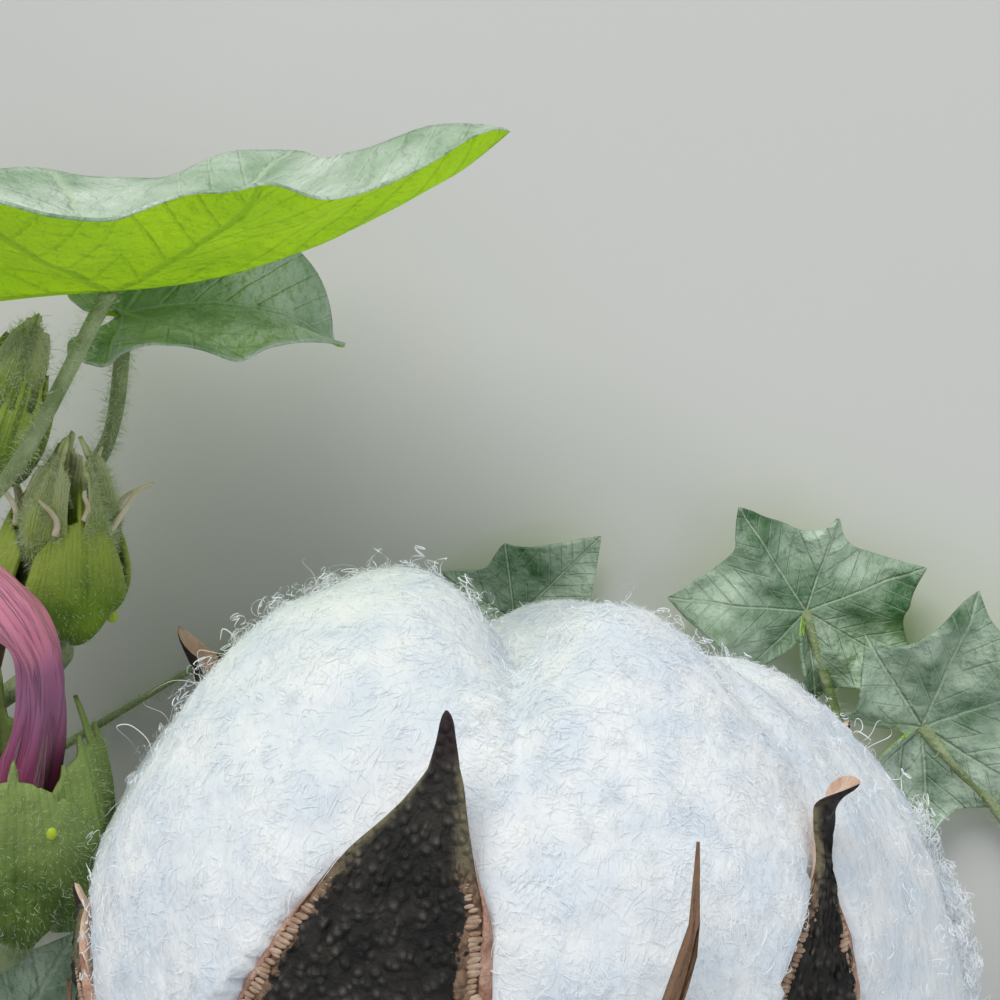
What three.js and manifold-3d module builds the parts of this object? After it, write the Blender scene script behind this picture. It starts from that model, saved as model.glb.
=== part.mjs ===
// A cut fruiting branch of a cotton plant, lying on level ground: one open boll in its dried bur,
// a wilted flower, two flower buds and six leaves on one zigzag stem.
// Millimetres, +Z up. The boll's axis runs along +Y, and azimuths turn about it from +Z towards +X.
import * as THREE from 'three';
import { mergeVertices } from 'three/addons/utils/BufferGeometryUtils.js';
import Module from 'manifold-3d';

const wasm = await Module();
wasm.setup();

// Driving dimensions
const GAP = 0.3;
const GROUND_CENTRE = new THREE.Vector3(-11, -13.5, 0);
const BOLL_AXIS_HEIGHT = 36;
const VALVE_THICKNESS = 1.5;
const BRACT_THICKNESS = 0.8;
const LEAF_THICKNESS = 0.8;
const LOCK_SPAN = 90;
const LOBE_ANGLE = 360 / 7;
const LOBE_TIP_HALF_ANGLE = 36;
const LOBE_FLANK = 90 - LOBE_TIP_HALF_ANGLE;
const LEAF_SINUS = [150, 180];
const LEAF_RINGS = 3;
const LEAF_SEGMENTS = 28;
const LINT_ROOM_DEPTH = 30;
const LEAST_BEND = 0.85;
const HOOK_START = 0.91;
const TWIST_START = 0.8;
const LOCK_PINCH = { foot: 0.2, top: 0.25 };
const BUD_BRACT_AZIMUTHS = [30, 150, 270];
const SIDE_REFERENCE = new THREE.Vector3(1, 0, -1).normalize();

// Colours of the sub-parts
const LOOKS = {
  lint: { color: 0xf0f0ee, roughness: 0.95 },
  valve: { color: 0x2b211d, roughness: 0.85 },
  dry_bract: { color: 0x7a5a3c, roughness: 0.9 },
  bark: { color: 0x5c4a35, roughness: 0.8 },
  petal: { color: 0xc2407c, roughness: 0.6 },
  bract: { color: 0x55713a, roughness: 0.8 },
  leaf: { color: 0x7f9a5c, roughness: 0.7 },
};

// The stem, from its cut end to its last node, and the stalks that leave it
const STEM_ROUTE = [[30, -100, 3.4], [12, -80, 3.3], [-6, -64, 3.2], [-28, -38, 3], [-54, -8, 2.7],
  [-55, 14, 5], [-50, 32, 13]];
const STEM_RADII = [3.3, 3.1, 2.9, 2.6, 2.3, 1.9, 1.4];

const BOLL = cup([0, 0, BOLL_AXIS_HEIGHT], [0, 1, 0], [0, 0, 1]);
const FLOWER = cup([-48, 0, 21], [0.05, 0.97, 0.22], [0, 0, 1]);
const LOWER_BUD = cup([-44, 26.5, 21], [0.12, 0.96, 0.25], [0, 0, 1]);
const UPPER_BUD = cup([-50.5, 40.5, 25.5], [0.35, 0.92, 0.15], [0, 0, 1]);

// Bur valves: the spine runs from foot to tip as radius and height about the boll's axis, and each tip is
// hooked outwards and twisted by so many degrees
const BROAD = [3.6, 8, 11, 12.8, 13.6, 13.4, 11.2, 3.8, 0.6];
const NARROW = [3.6, 8, 11, 12, 11, 8.5, 5.5, 2.7, 0.5];
const VALVES = [
  { name: 'front', azimuth: -22, lean: 13, belly: 40, tip: [36, 22], hook: 12, twist: 0, form: BROAD },
  { name: 'right', azimuth: 38, lean: 3, belly: 39, tip: [35.5, 16], hook: 80, twist: 45, form: NARROW },
  { name: 'under', azimuth: 122, lean: 0, belly: 38, tip: [35, 18], hook: 30, twist: 0, form: BROAD },
  { name: 'back', azimuth: -155, lean: 30, belly: 34.5, tip: [38, 27.5], hook: 25, twist: 0, form: NARROW },
  { name: 'left', azimuth: -88, lean: 0, belly: 39, tip: [38.5, 4.5], hook: 15, twist: 0, form: BROAD },
];

// Locks of lint, each between two valves, with their radial, upward and sideways reach from a centre
const LOCKS = [
  { name: 'left_front', between: [-88, -9], azimuth: -50, out: 15, height: 2, reach: [25, 30.5, 27] },
  { name: 'middle', between: [-9, 41], azimuth: 22, out: 18, height: 0, reach: [21, 30, 25] },
  { name: 'right', between: [41, 122], azimuth: 88, out: 17, height: -5, reach: [23, 30, 26] },
  { name: 'under', between: [122, 205], azimuth: 162, out: 17, height: 0, reach: [24, 29, 24] },
  { name: 'left_back', between: [205, 272], azimuth: 239, out: 17, height: 1, reach: [25.5, 29, 24] },
];

// Dried bracts under the boll, and fresh ones round the flower and the buds
const BOLL_BRACT = {
  halfWidths: [3, 9, 13, 14, 13, 10], wrap: 16, teeth: 7, body: 0.56, edge: 0.8, middle: 1,
  thickness: BRACT_THICKNESS,
};
const BOLL_BRACTS = [
  { ...BOLL_BRACT, name: 'front', azimuth: 6, lean: 13,
    spine: [[7.6, -41], [34, -46], [46.5, -20], [41, 12.5]] },
  { ...BOLL_BRACT, name: 'under', azimuth: 138, lean: 0,
    spine: [[7.6, -41], [26, -45], [37, -34], [37.5, -16]], halfWidths: [3, 7, 9, 10, 9, 7] },
  { ...BOLL_BRACT, name: 'left', azimuth: -103, lean: 0,
    spine: [[7.6, -41], [32, -46], [43, -26], [43, -6]] },
];
const FLOWER_BRACT = {
  halfWidths: [2.6, 6.2, 8.2, 8.2, 6.6, 5], wrap: 4, teeth: 7, body: 0.76, edge: 0.94, middle: 1,
  thickness: BRACT_THICKNESS, lean: 0,
};
const FLOWER_BRACTS = [
  { azimuth: -30, belly: 10.4, tip: [9, 13] },
  { azimuth: 92, belly: 8.8, tip: [7.4, 20.5] },
  { azimuth: 216, belly: 10.4, tip: [7, 25] },
];
const BUD_BRACT = {
  halfWidths: [2, 5.6, 7.8, 7.6, 6, 4], wrap: 4, teeth: 5, body: 0.72, edge: 0.95, middle: 1,
  thickness: BRACT_THICKNESS, lean: 0,
};
const LOWER_BUD_SPINE = [[0.6, 0], [8.5, -0.5], [7.6, 7], [2.8, 14.5]];
const UPPER_BUD_SPINE = [[0.6, 0], [5.4, -0.3], [5, 7], [2, 14]];
const LOWER_BUD_WIDTH = 7.5;
const UPPER_BUD_WIDTH = 5;

// Leaves: foot of the blade, the way its midrib and its upper face point, and the stalk's route to the foot.
// The lobes' lengths run from the midrib back to the foot, and curl and droop bend the blade down in front of
// the foot and behind it, in radians for each millimetre.
const LEAVES = [
  { name: 'upper_left', foot: [-36.4, 57.3, 40], along: [0.99, 0.06, 0], up: [-0.06, 0.98, 0.19], size: 39.5,
    lobes: [1, 0.74, 0.6, 0.5], round: 0, fold: 27, curl: -0.021, droop: 0.05,
    stalk: [[-54.3, 18, 6.6], [-59, 25, 20], [-55, 33, 31.5], [-46, 41, 35.5], [-36.4, 57.3, 40]],
    radii: [1.3, 1, 0.9, 0.8, 0.8] },
  { name: 'drooping', foot: [-36.8, 56, 26], along: [0.96, 0.27, 0], up: [-0.2, 0.7, 0.68], size: 23,
    lobes: [1, 0.62, 0.4, 0.3], round: 16, fold: 18, curl: 0.045, droop: 0.045,
    stalk: [[-52, 27, 10.4], [-45, 38, 9.5], [-39.5, 45, 17], [-36.8, 56, 26]],
    radii: [1.2, 0.9, 0.75, 0.8] },
  { name: 'lower_left', foot: [-62, -34, 7], along: [0.5, 0.82, 0.2], up: [-0.1, -0.18, 0.97], size: 35,
    lobes: [1, 0.76, 0.55, 0.4], round: 0, fold: 10, curl: 0.01, droop: 0.01,
    stalk: [[-31, -34.5, 3], [-46, -39, 4], [-62, -34, 7]], radii: [1.3, 1, 0.9] },
  { name: 'behind_boll', foot: [-0.3, 26.5, 2.3], along: [0.7, 0.7, 0.12], up: [0, -0.12, 0.98], size: 12.5,
    lobes: [1, 0.6, 0.75, 0.3], round: 0, fold: 3, curl: -0.02, droop: 0.01,
    stalk: [[-54.9, 8, 4], [-44, 15, 2.2], [-28, 24, 1.8], [-14, 28, 1.8], [-0.3, 26.5, 2.3]],
    radii: [1.2, 0.9, 0.8, 0.8, 0.8] },
  { name: 'right_upper', foot: [29, 27.5, 5], along: [0.31, 0.94, 0.1], up: [0.05, -0.15, 0.97], size: 14,
    lobes: [0.7, 0.9, 1, 0.7], round: 0, fold: 4, curl: 0.008, droop: 0.008,
    stalk: [[-4, -66, 3.2], [22, -42, 2.6], [32, -14, 1.8], [34, 8, 1.8], [29, 27.5, 5]],
    radii: [1.4, 1.1, 1, 0.9, 0.9] },
  { name: 'right_lower', foot: [40.5, 16, 6], along: [0.93, 0.3, 0.1], up: [0, -0.35, 0.94], size: 19,
    lobes: [1, 0.8, 0.6, 0.45], round: 0, fold: 6, curl: 0.006, droop: 0.006,
    stalk: [[18, -87, 3.3], [46, -55, 2.4], [54, -25, 1.9], [53, 0, 2.2], [40.5, 16, 6]],
    radii: [1.5, 1.2, 1, 0.9, 0.9] },
];

// Flower stalks, and the closed corolla that bends over
const BOLL_STALK = {
  route: [[-6, -64, 3.2], [-5, -62, 18], [-1.5, -54, 31], onAxis(BOLL, -47), onAxis(BOLL, -42.3)],
  radii: [2.2, 2, 2, 2.3, 3],
};
const FLOWER_STALK = {
  route: [[-54.6, 2, 3.3], [-57.5, -1, 10], [-52.5, -6, 17], onAxis(FLOWER, -4), onAxis(FLOWER, -1.3)],
  radii: [1.6, 1.3, 1.4, 1.6, 1.9],
};
const LOWER_BUD_STALK = {
  route: [[-55, 12, 4.7], [-52, 18, 12], onAxis(LOWER_BUD, -3.5), onAxis(LOWER_BUD, -1.1)],
  radii: [1.3, 1.1, 1.2, 1.5],
};
const UPPER_BUD_STALK = {
  route: [[-50.4, 31, 12.4], [-55, 36, 17], onAxis(UPPER_BUD, -2.5), onAxis(UPPER_BUD, -1.1)],
  radii: [1.2, 1, 1.1, 1.3],
};
const COROLLA = {
  route: [[-47.9, 1.3, 21.3], [-47.5, 8.3, 23], [-45.6, 14.5, 26], [-44, 20.5, 30], [-43.9, 25.3, 34],
    [-46.8, 29.5, 37], [-54, 35, 39]],
  radii: [2.6, 3, 2.6, 2.1, 2.1, 2.6, 2.2],
};

// Turned profiles, as radius and height about the boll's and the flower's axis
const RECEPTACLE_PROFILE = [[0, -42], [6.8, -42], [7.2, -40], [7.2, -35], [5, -34.2], [0, -34.2]];
const CALYX_PROFILE = [[0, -1], [3.4, -1], [4.6, 1.5], [4.9, 7], [4.2, 7], [3.7, 1], [0, 1]];

function onAxis({ foot, along }, height) {
  return foot.clone().addScaledVector(along, height).toArray();
}

function radians(degrees) {
  return THREE.MathUtils.degToRad(degrees);
}

function vector([x, y, z]) {
  return new THREE.Vector3(x, y, z);
}

// A value between equally spaced ones, at t from 0 to 1
function between(values, t) {
  const place = THREE.MathUtils.clamp(t, 0, 1) * (values.length - 1);
  const index = Math.min(Math.floor(place), values.length - 2);
  return THREE.MathUtils.lerp(values[index], values[index + 1], place - index);
}

// Axes about which valves, lint and bracts are placed
function cup(foot, axis, front) {
  const along = vector(axis).normalize();
  const right = new THREE.Vector3().crossVectors(along, vector(front)).normalize();
  return { foot: vector(foot), along, right, front: new THREE.Vector3().crossVectors(right, along) };
}

// A place in a cup: out from its axis at an azimuth in degrees, along the axis, and sideways
function placeIn(about, azimuth, radius, height, sideways) {
  const turn = radians(azimuth);
  const outward = about.front.clone().multiplyScalar(Math.cos(turn))
    .addScaledVector(about.right, Math.sin(turn));
  const across = new THREE.Vector3().crossVectors(about.along, outward);
  return about.foot.clone().addScaledVector(outward, radius).addScaledVector(about.along, height)
    .addScaledVector(across, sideways);
}

// The geometry with each vertex moved by a rule, its seams merged and its faces pointing out
function warp(geometry, rule) {
  geometry.deleteAttribute('normal');
  geometry.deleteAttribute('uv');
  const places = geometry.attributes.position;
  const point = new THREE.Vector3();
  for (let i = 0; i < places.count; i += 1) {
    point.fromBufferAttribute(places, i);
    places.setXYZ(i, ...rule(point.clone()).toArray());
  }
  const merged = mergeVertices(geometry, 1e-3);
  if (signedVolume(merged) < 0) {
    merged.index.array.reverse();
  }
  return merged;
}

function signedVolume(geometry) {
  const corners = geometry.index.array;
  const places = geometry.attributes.position;
  const [a, b, c] = [new THREE.Vector3(), new THREE.Vector3(), new THREE.Vector3()];
  let sum = 0;
  for (let i = 0; i < corners.length; i += 3) {
    a.fromBufferAttribute(places, corners[i]);
    b.fromBufferAttribute(places, corners[i + 1]);
    c.fromBufferAttribute(places, corners[i + 2]);
    sum += a.dot(b.cross(c)) / 6;
  }
  return sum;
}

function solid(geometry) {
  const vertProperties = new Float32Array(geometry.attributes.position.array);
  const triVerts = new Uint32Array(geometry.index.array);
  return new wasm.Manifold(new wasm.Mesh({ numProp: 3, vertProperties, triVerts }));
}

function surface(manifold) {
  const { vertProperties, triVerts } = manifold.getMesh();
  const geometry = new THREE.BufferGeometry();
  geometry.setAttribute('position', new THREE.BufferAttribute(vertProperties, 3));
  geometry.setIndex(new THREE.BufferAttribute(triVerts, 1));
  return geometry;
}

// A round limb along a smooth route, its radius tapering from one given value to the next
function limb({ route, radii }, { sides = 8, steps = 14, grow = 0 } = {}) {
  const line = new THREE.CatmullRomCurve3(route.map(vector), false, 'catmullrom', 0.5);
  const tube = new THREE.CylinderGeometry(1, 1, 1, sides, steps);
  return warp(tube, (point) => {
    const t = point.y + 0.5;
    const radius = between(radii, t) + grow;
    const forward = line.getTangent(t);
    const side = new THREE.Vector3().crossVectors(forward, SIDE_REFERENCE).normalize();
    const over = new THREE.Vector3().crossVectors(side, forward);
    return line.getPoint(t)
      .addScaledVector(side, point.x * radius)
      .addScaledVector(over, point.z * radius);
  });
}

// A thin curved wall that rises from a cup's axis: a bur valve or a bract
function wall(about, shape, options = {}) {
  const { columns = 4, rows = 12, inner = 0, outer = shape.thickness, wider = 0 } = options;
  const spine = new THREE.CubicBezierCurve(...shape.spine.map(([r, h]) => new THREE.Vector2(r, h)));
  const spinePlace = hookedSpine(spine, shape.hook);
  const sheet = new THREE.BoxGeometry(2, 1, 1, columns, rows, 1);
  return warp(sheet, ({ x: across, y, z }) => {
    const v = (y + 0.5) * toothedEdge(shape, across);
    const depth = z > 0 ? outer : inner;
    const { centre, rise } = spinePlace(v);
    const bend = Math.max(shape.wrap, LEAST_BEND * centre.x);
    const angle = across * (between(shape.halfWidths, v) + wider) / bend;
    const twist = radians(shape.twist ?? 0) * THREE.MathUtils.smoothstep(v, TWIST_START, 1);
    const section = new THREE.Vector2(depth - bend * (1 - Math.cos(angle)), bend * Math.sin(angle));
    const { x: out, y: sideways } = section.rotateAround(new THREE.Vector2(), twist);
    const azimuth = shape.azimuth + shape.lean * THREE.MathUtils.smoothstep(v, 0.6, 1);
    return placeIn(about, azimuth, centre.x + rise.y * out, centre.y - rise.x * out, sideways);
  });
}

// Place and direction on a wall's spine, whose last stretch turns outwards along an arc where it has a hook
function hookedSpine(spine, hook) {
  const start = spine.getPoint(HOOK_START);
  const forward = spine.getTangent(HOOK_START);
  const outward = new THREE.Vector2(forward.y, -forward.x);
  const step = 0.01;
  const length = spine.getPoint(HOOK_START + step).distanceTo(start) / step * (1 - HOOK_START);
  return (v) => {
    if (!hook || v <= HOOK_START) {
      return { centre: spine.getPoint(v), rise: spine.getTangent(v) };
    }
    const turn = radians(hook) * (v - HOOK_START) / (1 - HOOK_START);
    const radius = length / radians(hook);
    const centre = start.clone().addScaledVector(forward, radius * Math.sin(turn))
      .addScaledVector(outward, radius * (1 - Math.cos(turn)));
    const rise = forward.clone().multiplyScalar(Math.cos(turn)).addScaledVector(outward, Math.sin(turn));
    return { centre, rise };
  };
}

// How far up a bract reaches across its width: a plain body with narrow teeth, the middle one longest
function toothedEdge(shape, across) {
  if (!shape.teeth) {
    return 1;
  }
  const tooth = Math.max(0, Math.cos(Math.PI * shape.teeth * across)) ** 2;
  const body = shape.body * (1 - 0.15 * across * across);
  const top = Math.abs(across) < 1 / shape.teeth ? shape.middle : shape.edge * (1 - 0.2 * Math.abs(across));
  return body + (top - body) * tooth;
}

function valveShape({ belly, tip, form, ...valve }) {
  const spine = [[7.5, -36], [belly - 6, -35], [belly, -8], tip];
  return { ...valve, spine, halfWidths: form, wrap: 9, thickness: VALVE_THICKNESS };
}

// A lock of lint: an egg-shaped tuft, kept to its sector, clear of the valves and flat where it lies
function lintLock(lock) {
  const [radial, upward, sideways] = lock.reach;
  const egg = warp(new THREE.SphereGeometry(1, 16, 12), ({ x, y, z }) => {
    const pinch = 1 - (y < 0 ? LOCK_PINCH.foot : LOCK_PINCH.top) * y * y;
    const down = y < 0 ? 1.15 : 1;
    return placeIn(BOLL, lock.azimuth, lock.out + radial * z * pinch, lock.height + upward * y * down,
      sideways * x * pinch);
  });
  let tuft = solid(egg).intersect(solid(sector(lock.between))).intersect(solid(roomAboveGround()));
  VALVES.forEach((valve) => {
    const plain = { ...valveShape(valve), hook: 0, twist: 0 };
    const room = wall(BOLL, plain, { inner: -GAP, outer: LINT_ROOM_DEPTH, wider: GAP });
    tuft = tuft.subtract(solid(room));
  });
  return surface(tuft);
}

function sector([start, end]) {
  const middle = (start + end) / 2;
  const point = (azimuth, reach) => new THREE.Vector2(Math.sin(radians(azimuth)), Math.cos(radians(azimuth)))
    .multiplyScalar(reach);
  const apex = point(middle, GAP / 2 / Math.sin(radians((end - start) / 2)));
  const corners = [apex, point(start, LOCK_SPAN).add(apex), point(middle, LOCK_SPAN * 1.3),
    point(end, LOCK_SPAN).add(apex)];
  const outline = new THREE.Shape(corners);
  const wedge = new THREE.ExtrudeGeometry(outline, { depth: LOCK_SPAN, bevelEnabled: false });
  return warp(wedge, ({ x, y, z }) => new THREE.Vector3(x, z - LOCK_SPAN / 2, y + BOLL_AXIS_HEIGHT));
}

function roomAboveGround() {
  const room = new THREE.BoxGeometry(LOCK_SPAN * 2, LOCK_SPAN * 2, LOCK_SPAN * 2);
  return warp(room, (point) => point.add(new THREE.Vector3(0, 0, LOCK_SPAN)));
}

// Half the leaf's outline, as a distance from its foot at an angle from the midrib
function leafReach({ lobes, round }, angle) {
  const reaches = lobes.map((reach, i) => {
    const away = Math.hypot(angle - i * LOBE_ANGLE, round) - round;
    const slope = radians(LOBE_TIP_HALF_ANGLE + Math.min(away, LOBE_FLANK));
    const fade = THREE.MathUtils.clamp(1 - (away - LOBE_FLANK) / LOBE_ANGLE, 0, 1);
    return reach * fade * Math.sin(radians(LOBE_TIP_HALF_ANGLE)) / Math.sin(slope);
  });
  const open = 1 - 0.7 * THREE.MathUtils.smoothstep(angle, ...LEAF_SINUS);
  return Math.max(...reaches) * open;
}

// A lobed blade, folded along its midrib and curled along its length
function blade(leaf) {
  const profile = [];
  for (let i = 0; i <= LEAF_RINGS; i += 1) {
    profile.push(new THREE.Vector2(i / LEAF_RINGS, -0.5));
  }
  for (let i = LEAF_RINGS; i >= 0; i -= 1) {
    profile.push(new THREE.Vector2(i / LEAF_RINGS, 0.5));
  }
  const along = vector(leaf.along).normalize();
  const side = new THREE.Vector3().crossVectors(vector(leaf.up), along).normalize();
  const up = new THREE.Vector3().crossVectors(along, side);
  const fold = radians(leaf.fold);
  return warp(new THREE.LatheGeometry(profile, LEAF_SEGMENTS), ({ x, y, z }) => {
    const angle = Math.abs(THREE.MathUtils.radToDeg(Math.atan2(x, z)));
    const reach = leaf.size * leafReach(leaf, angle);
    const forward = z * reach;
    const sideways = x * reach;
    const curl = forward < 0 ? leaf.droop : leaf.curl;
    const turn = curl * forward;
    const lift = Math.abs(sideways) * Math.sin(fold) + y * LEAF_THICKNESS;
    return vector(leaf.foot)
      .addScaledVector(along, Math.sin(turn) / curl + lift * Math.sin(turn))
      .addScaledVector(up, (Math.cos(turn) - 1) / curl + lift * Math.cos(turn))
      .addScaledVector(side, sideways * Math.cos(fold));
  });
}

// A limb that leaves the stem, clear of it
function sideLimb(shape, options) {
  const stemRoom = limb({ route: STEM_ROUTE, radii: STEM_RADII }, { sides: 8, steps: 24, grow: GAP });
  return solid(limb(shape, options)).subtract(solid(stemRoom));
}

function leafGeometry(leaf) {
  const stalk = sideLimb({ route: leaf.stalk, radii: leaf.radii }, { sides: 6, steps: 12 });
  return surface(stalk.add(solid(blade(leaf))));
}

// A flower bud inside its three toothed bracts
function budGeometry(about, spine, width) {
  const core = warp(new THREE.SphereGeometry(1, 12, 8), ({ x, y, z }) => (
    placeIn(about, 0, width * 0.55 * z, spine[3][1] * (0.3 + 0.35 * y), width * 0.55 * x)));
  let bud = solid(core);
  BUD_BRACT_AZIMUTHS.forEach((azimuth) => {
    const scaled = BUD_BRACT.halfWidths.map((halfWidth) => halfWidth * width / 9);
    const bract = wall(about, { ...BUD_BRACT, azimuth, spine, halfWidths: scaled }, { columns: 10, rows: 3 });
    bud = bud.add(solid(bract));
  });
  return surface(bud);
}

function ringAbout(about, profile, segments) {
  const turned = new THREE.LatheGeometry(profile.map(([r, h]) => new THREE.Vector2(r, h)), segments);
  return warp(turned, ({ x, y, z }) => placeIn(about, 0, z, y, x));
}

const plant = new THREE.Group();
plant.position.copy(GROUND_CENTRE).negate();

function addPart(name, look, geometry) {
  geometry.computeVertexNormals();
  const mesh = new THREE.Mesh(geometry, new THREE.MeshStandardMaterial({ metalness: 0, ...LOOKS[look] }));
  mesh.name = name;
  plant.add(mesh);
}

addPart('stem', 'bark', limb({ route: STEM_ROUTE, radii: STEM_RADII }, { sides: 8, steps: 24 }));

// The open boll
addPart('boll_stalk', 'bark', surface(sideLimb(BOLL_STALK)));
addPart('boll_receptacle', 'bark', ringAbout(BOLL, RECEPTACLE_PROFILE, 20));
VALVES.forEach((valve) => addPart(`boll_valve_${valve.name}`, 'valve', wall(BOLL, valveShape(valve))));
LOCKS.forEach((lock) => addPart(`lint_lock_${lock.name}`, 'lint', lintLock(lock)));
BOLL_BRACTS.forEach((bract) => {
  addPart(`boll_bract_${bract.name}`, 'dry_bract', wall(BOLL, bract, { columns: 28, rows: 9 }));
});

// The wilted flower
addPart('flower_stalk', 'bract', surface(sideLimb(FLOWER_STALK)));
addPart('flower_calyx', 'bract', ringAbout(FLOWER, CALYX_PROFILE, 14));
addPart('flower_corolla', 'petal', limb(COROLLA, { sides: 10, steps: 16 }));
FLOWER_BRACTS.forEach(({ azimuth, belly, tip }, i) => {
  const spine = [[4.2, -1.4], [belly - 0.9, -2], [belly, tip[1] * 0.45], tip];
  const bract = { ...FLOWER_BRACT, azimuth, spine };
  addPart(`flower_bract_${i + 1}`, 'bract', wall(FLOWER, bract, { columns: 14, rows: 5 }));
});

// The buds at the stem's tip
addPart('bud_lower_stalk', 'bract', surface(sideLimb(LOWER_BUD_STALK, { sides: 6, steps: 6 })));
addPart('bud_lower', 'bract', budGeometry(LOWER_BUD, LOWER_BUD_SPINE, LOWER_BUD_WIDTH));
addPart('bud_upper_stalk', 'bract', surface(sideLimb(UPPER_BUD_STALK, { sides: 6, steps: 4 })));
addPart('bud_upper', 'bract', budGeometry(UPPER_BUD, UPPER_BUD_SPINE, UPPER_BUD_WIDTH));

LEAVES.forEach((leaf) => addPart(`leaf_${leaf.name}`, 'leaf', leafGeometry(leaf)));

export default plant;
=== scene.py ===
import math
from itertools import product

import bmesh
import bpy
import numpy as np
from mathutils.bvhtree import BVHTree
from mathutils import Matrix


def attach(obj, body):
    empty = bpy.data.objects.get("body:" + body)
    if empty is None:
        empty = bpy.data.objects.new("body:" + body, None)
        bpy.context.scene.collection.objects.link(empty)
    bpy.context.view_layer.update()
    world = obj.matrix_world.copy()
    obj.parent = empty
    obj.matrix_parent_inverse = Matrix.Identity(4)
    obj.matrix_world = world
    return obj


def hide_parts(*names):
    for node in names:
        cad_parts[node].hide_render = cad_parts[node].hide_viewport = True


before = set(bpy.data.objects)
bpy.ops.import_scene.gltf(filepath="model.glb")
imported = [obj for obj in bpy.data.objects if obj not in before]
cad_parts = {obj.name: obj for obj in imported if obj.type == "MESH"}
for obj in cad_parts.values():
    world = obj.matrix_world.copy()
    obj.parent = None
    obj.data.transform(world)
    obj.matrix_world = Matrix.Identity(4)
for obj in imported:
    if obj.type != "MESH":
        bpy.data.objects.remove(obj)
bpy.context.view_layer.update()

# Sizes are in millimetres, in the part's own frame before it is centred on the ground, as in the source
MM = 0.001
GROUND_CENTRE = np.array([-11.0, -13.5, 0.0])
GAP = 0.3
VALVE_THICKNESS = 1.5
BRACT_THICKNESS = 0.45
LEAF_THICKNESS = 0.35
LEAST_BEND = 0.85
HOOK_START = 0.91
TWIST_START = 0.88
LOBE_ANGLE = 360 / 7
LOBE_TIP_HALF_ANGLE = 36
LOBE_FLANK = 90 - LOBE_TIP_HALF_ANGLE
LEAF_SINUS = (150, 180)
LOCK_PINCH = {"foot": 0.2, "top": 0.25}
SIDE_REFERENCE = np.array([1, 0, -1]) / math.sqrt(2)
BUD_BRACT_AZIMUTHS = (30, 150, 270)

# Valve margins: how far along the valve they run, their size, and the pale ridges that lie inside them
MARGIN_SPAN = (0.1, 0.87)
MARGIN_WIDTH = 0.5
RIDGE_COUNT = 150
RIDGE_INSET = 0.8
RIDGE_REACH = (0.6, 0.26, 0.24)

# The camera looks straight down from where the photograph was taken
CAMERA_PLACE = (-1.8, 38.7, 296)
FIELD_HALF_WIDTH = 45
FIELD_DISTANCE = 260

# Lint: how the locks merge, and how many threads cover them
LOCK_BLEND = 1.4
SEAM_OVERLAP = 2.0
SEAM_SINK = 0.5
LOCK_FOCUS = 0.7
THREAD_SHARE = 1.0
THREAD_WIDTH = 0.055
SURFACE_THREADS = 15000
BACK_THREADS = 0.7
POOL_SIZE = 6000
LINT_LIMIT = 80.0
LINT_HALVINGS = 18

# Hairs: how many, how long and how wide
HAIRS = {"flower": (1800, 0.4, 0.03), "bud": (1000, 0.4, 0.03), "inner": (2500, 0.5, 0.04),
         "leaf": (2500, 0.6, 0.04)}

# A bud's soft teeth: their length and thickness as shares of its width, and how far they curl
TOOTH_LENGTH = 0.72
TOOTH_RADIUS = 0.032
TOOTH_CURL = 0.5

# Points across and along a piece's grid, and points round a turned piece
FINE_VALVE_GRID = (170, 230)
PLAIN_VALVE_GRID = (90, 120)
SEAM_GRID = (14, 300)
BRACT_GRIDS = {"boll": (112, 40), "flower": (84, 36), "bud": (60, 28), "inner": (36, 30)}
TOOTH_GRID = (7, 18)
LEAF_GRID = (168, 36)
LEAF_STALK_GRID = (18, 90)
SPIN_STEPS = 64

# Glands: how far across and along their bract they lie, and their size
FLOWER_GLAND = (0.4, 0.84)
BUD_GLAND = (0.8, 0.36)
GLAND_SIZE = 0.7

dice = np.random.default_rng(7)


# Places and curves

def unit(vectors):
    vectors = np.asarray(vectors, float)
    return vectors / np.maximum(np.linalg.norm(vectors, axis=-1, keepdims=True), 1e-9)


def to_scene(points):
    """Places in millimetres as places in the scene."""
    return (points - GROUND_CENTRE) * MM


def to_plant(places):
    """Places in the scene as places in millimetres."""
    return np.array(places) / MM + GROUND_CENTRE


def smoothstep(value, low, high):
    share = np.clip((value - low) / (high - low), 0, 1)
    return share * share * (3 - 2 * share)


def between(values, share):
    """A smooth curve through equally spaced values or points, at a share of its length from 0 to 1."""
    values = np.asarray(values, float)
    spaced = np.concatenate([[2 * values[0] - values[1]], values, [2 * values[-1] - values[-2]]])
    place = np.clip(share, 0, 1) * (len(values) - 1)
    index = np.minimum(place.astype(int), len(values) - 2)
    t = place - index
    if values.ndim > 1:
        t = t[..., None]
    before, start, end, after = (spaced[index + step] for step in range(4))
    slope_in, slope_out = (end - before) / 2, (after - start) / 2
    return (start + slope_in * t + (3 * (end - start) - 2 * slope_in - slope_out) * t ** 2
            + (2 * (start - end) + slope_in + slope_out) * t ** 3)


def even(pairs, share):
    """A value at a share of a length, between given pairs, with its corners softened."""
    places, values = zip(*pairs)
    return sum(np.interp(share + step, places, values) for step in (-0.012, 0, 0.012)) / 3


def bezier(corners, share):
    """Place and direction on a cubic Bezier curve in a plane."""
    a, b, c, d = np.asarray(corners, float)
    t = np.asarray(share, float)[..., None]
    place = a * (1 - t) ** 3 + 3 * b * t * (1 - t) ** 2 + 3 * c * t ** 2 * (1 - t) + d * t ** 3
    direction = (b - a) * (1 - t) ** 2 + 2 * (c - b) * t * (1 - t) + (d - c) * t ** 2
    return place, unit(direction)


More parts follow.
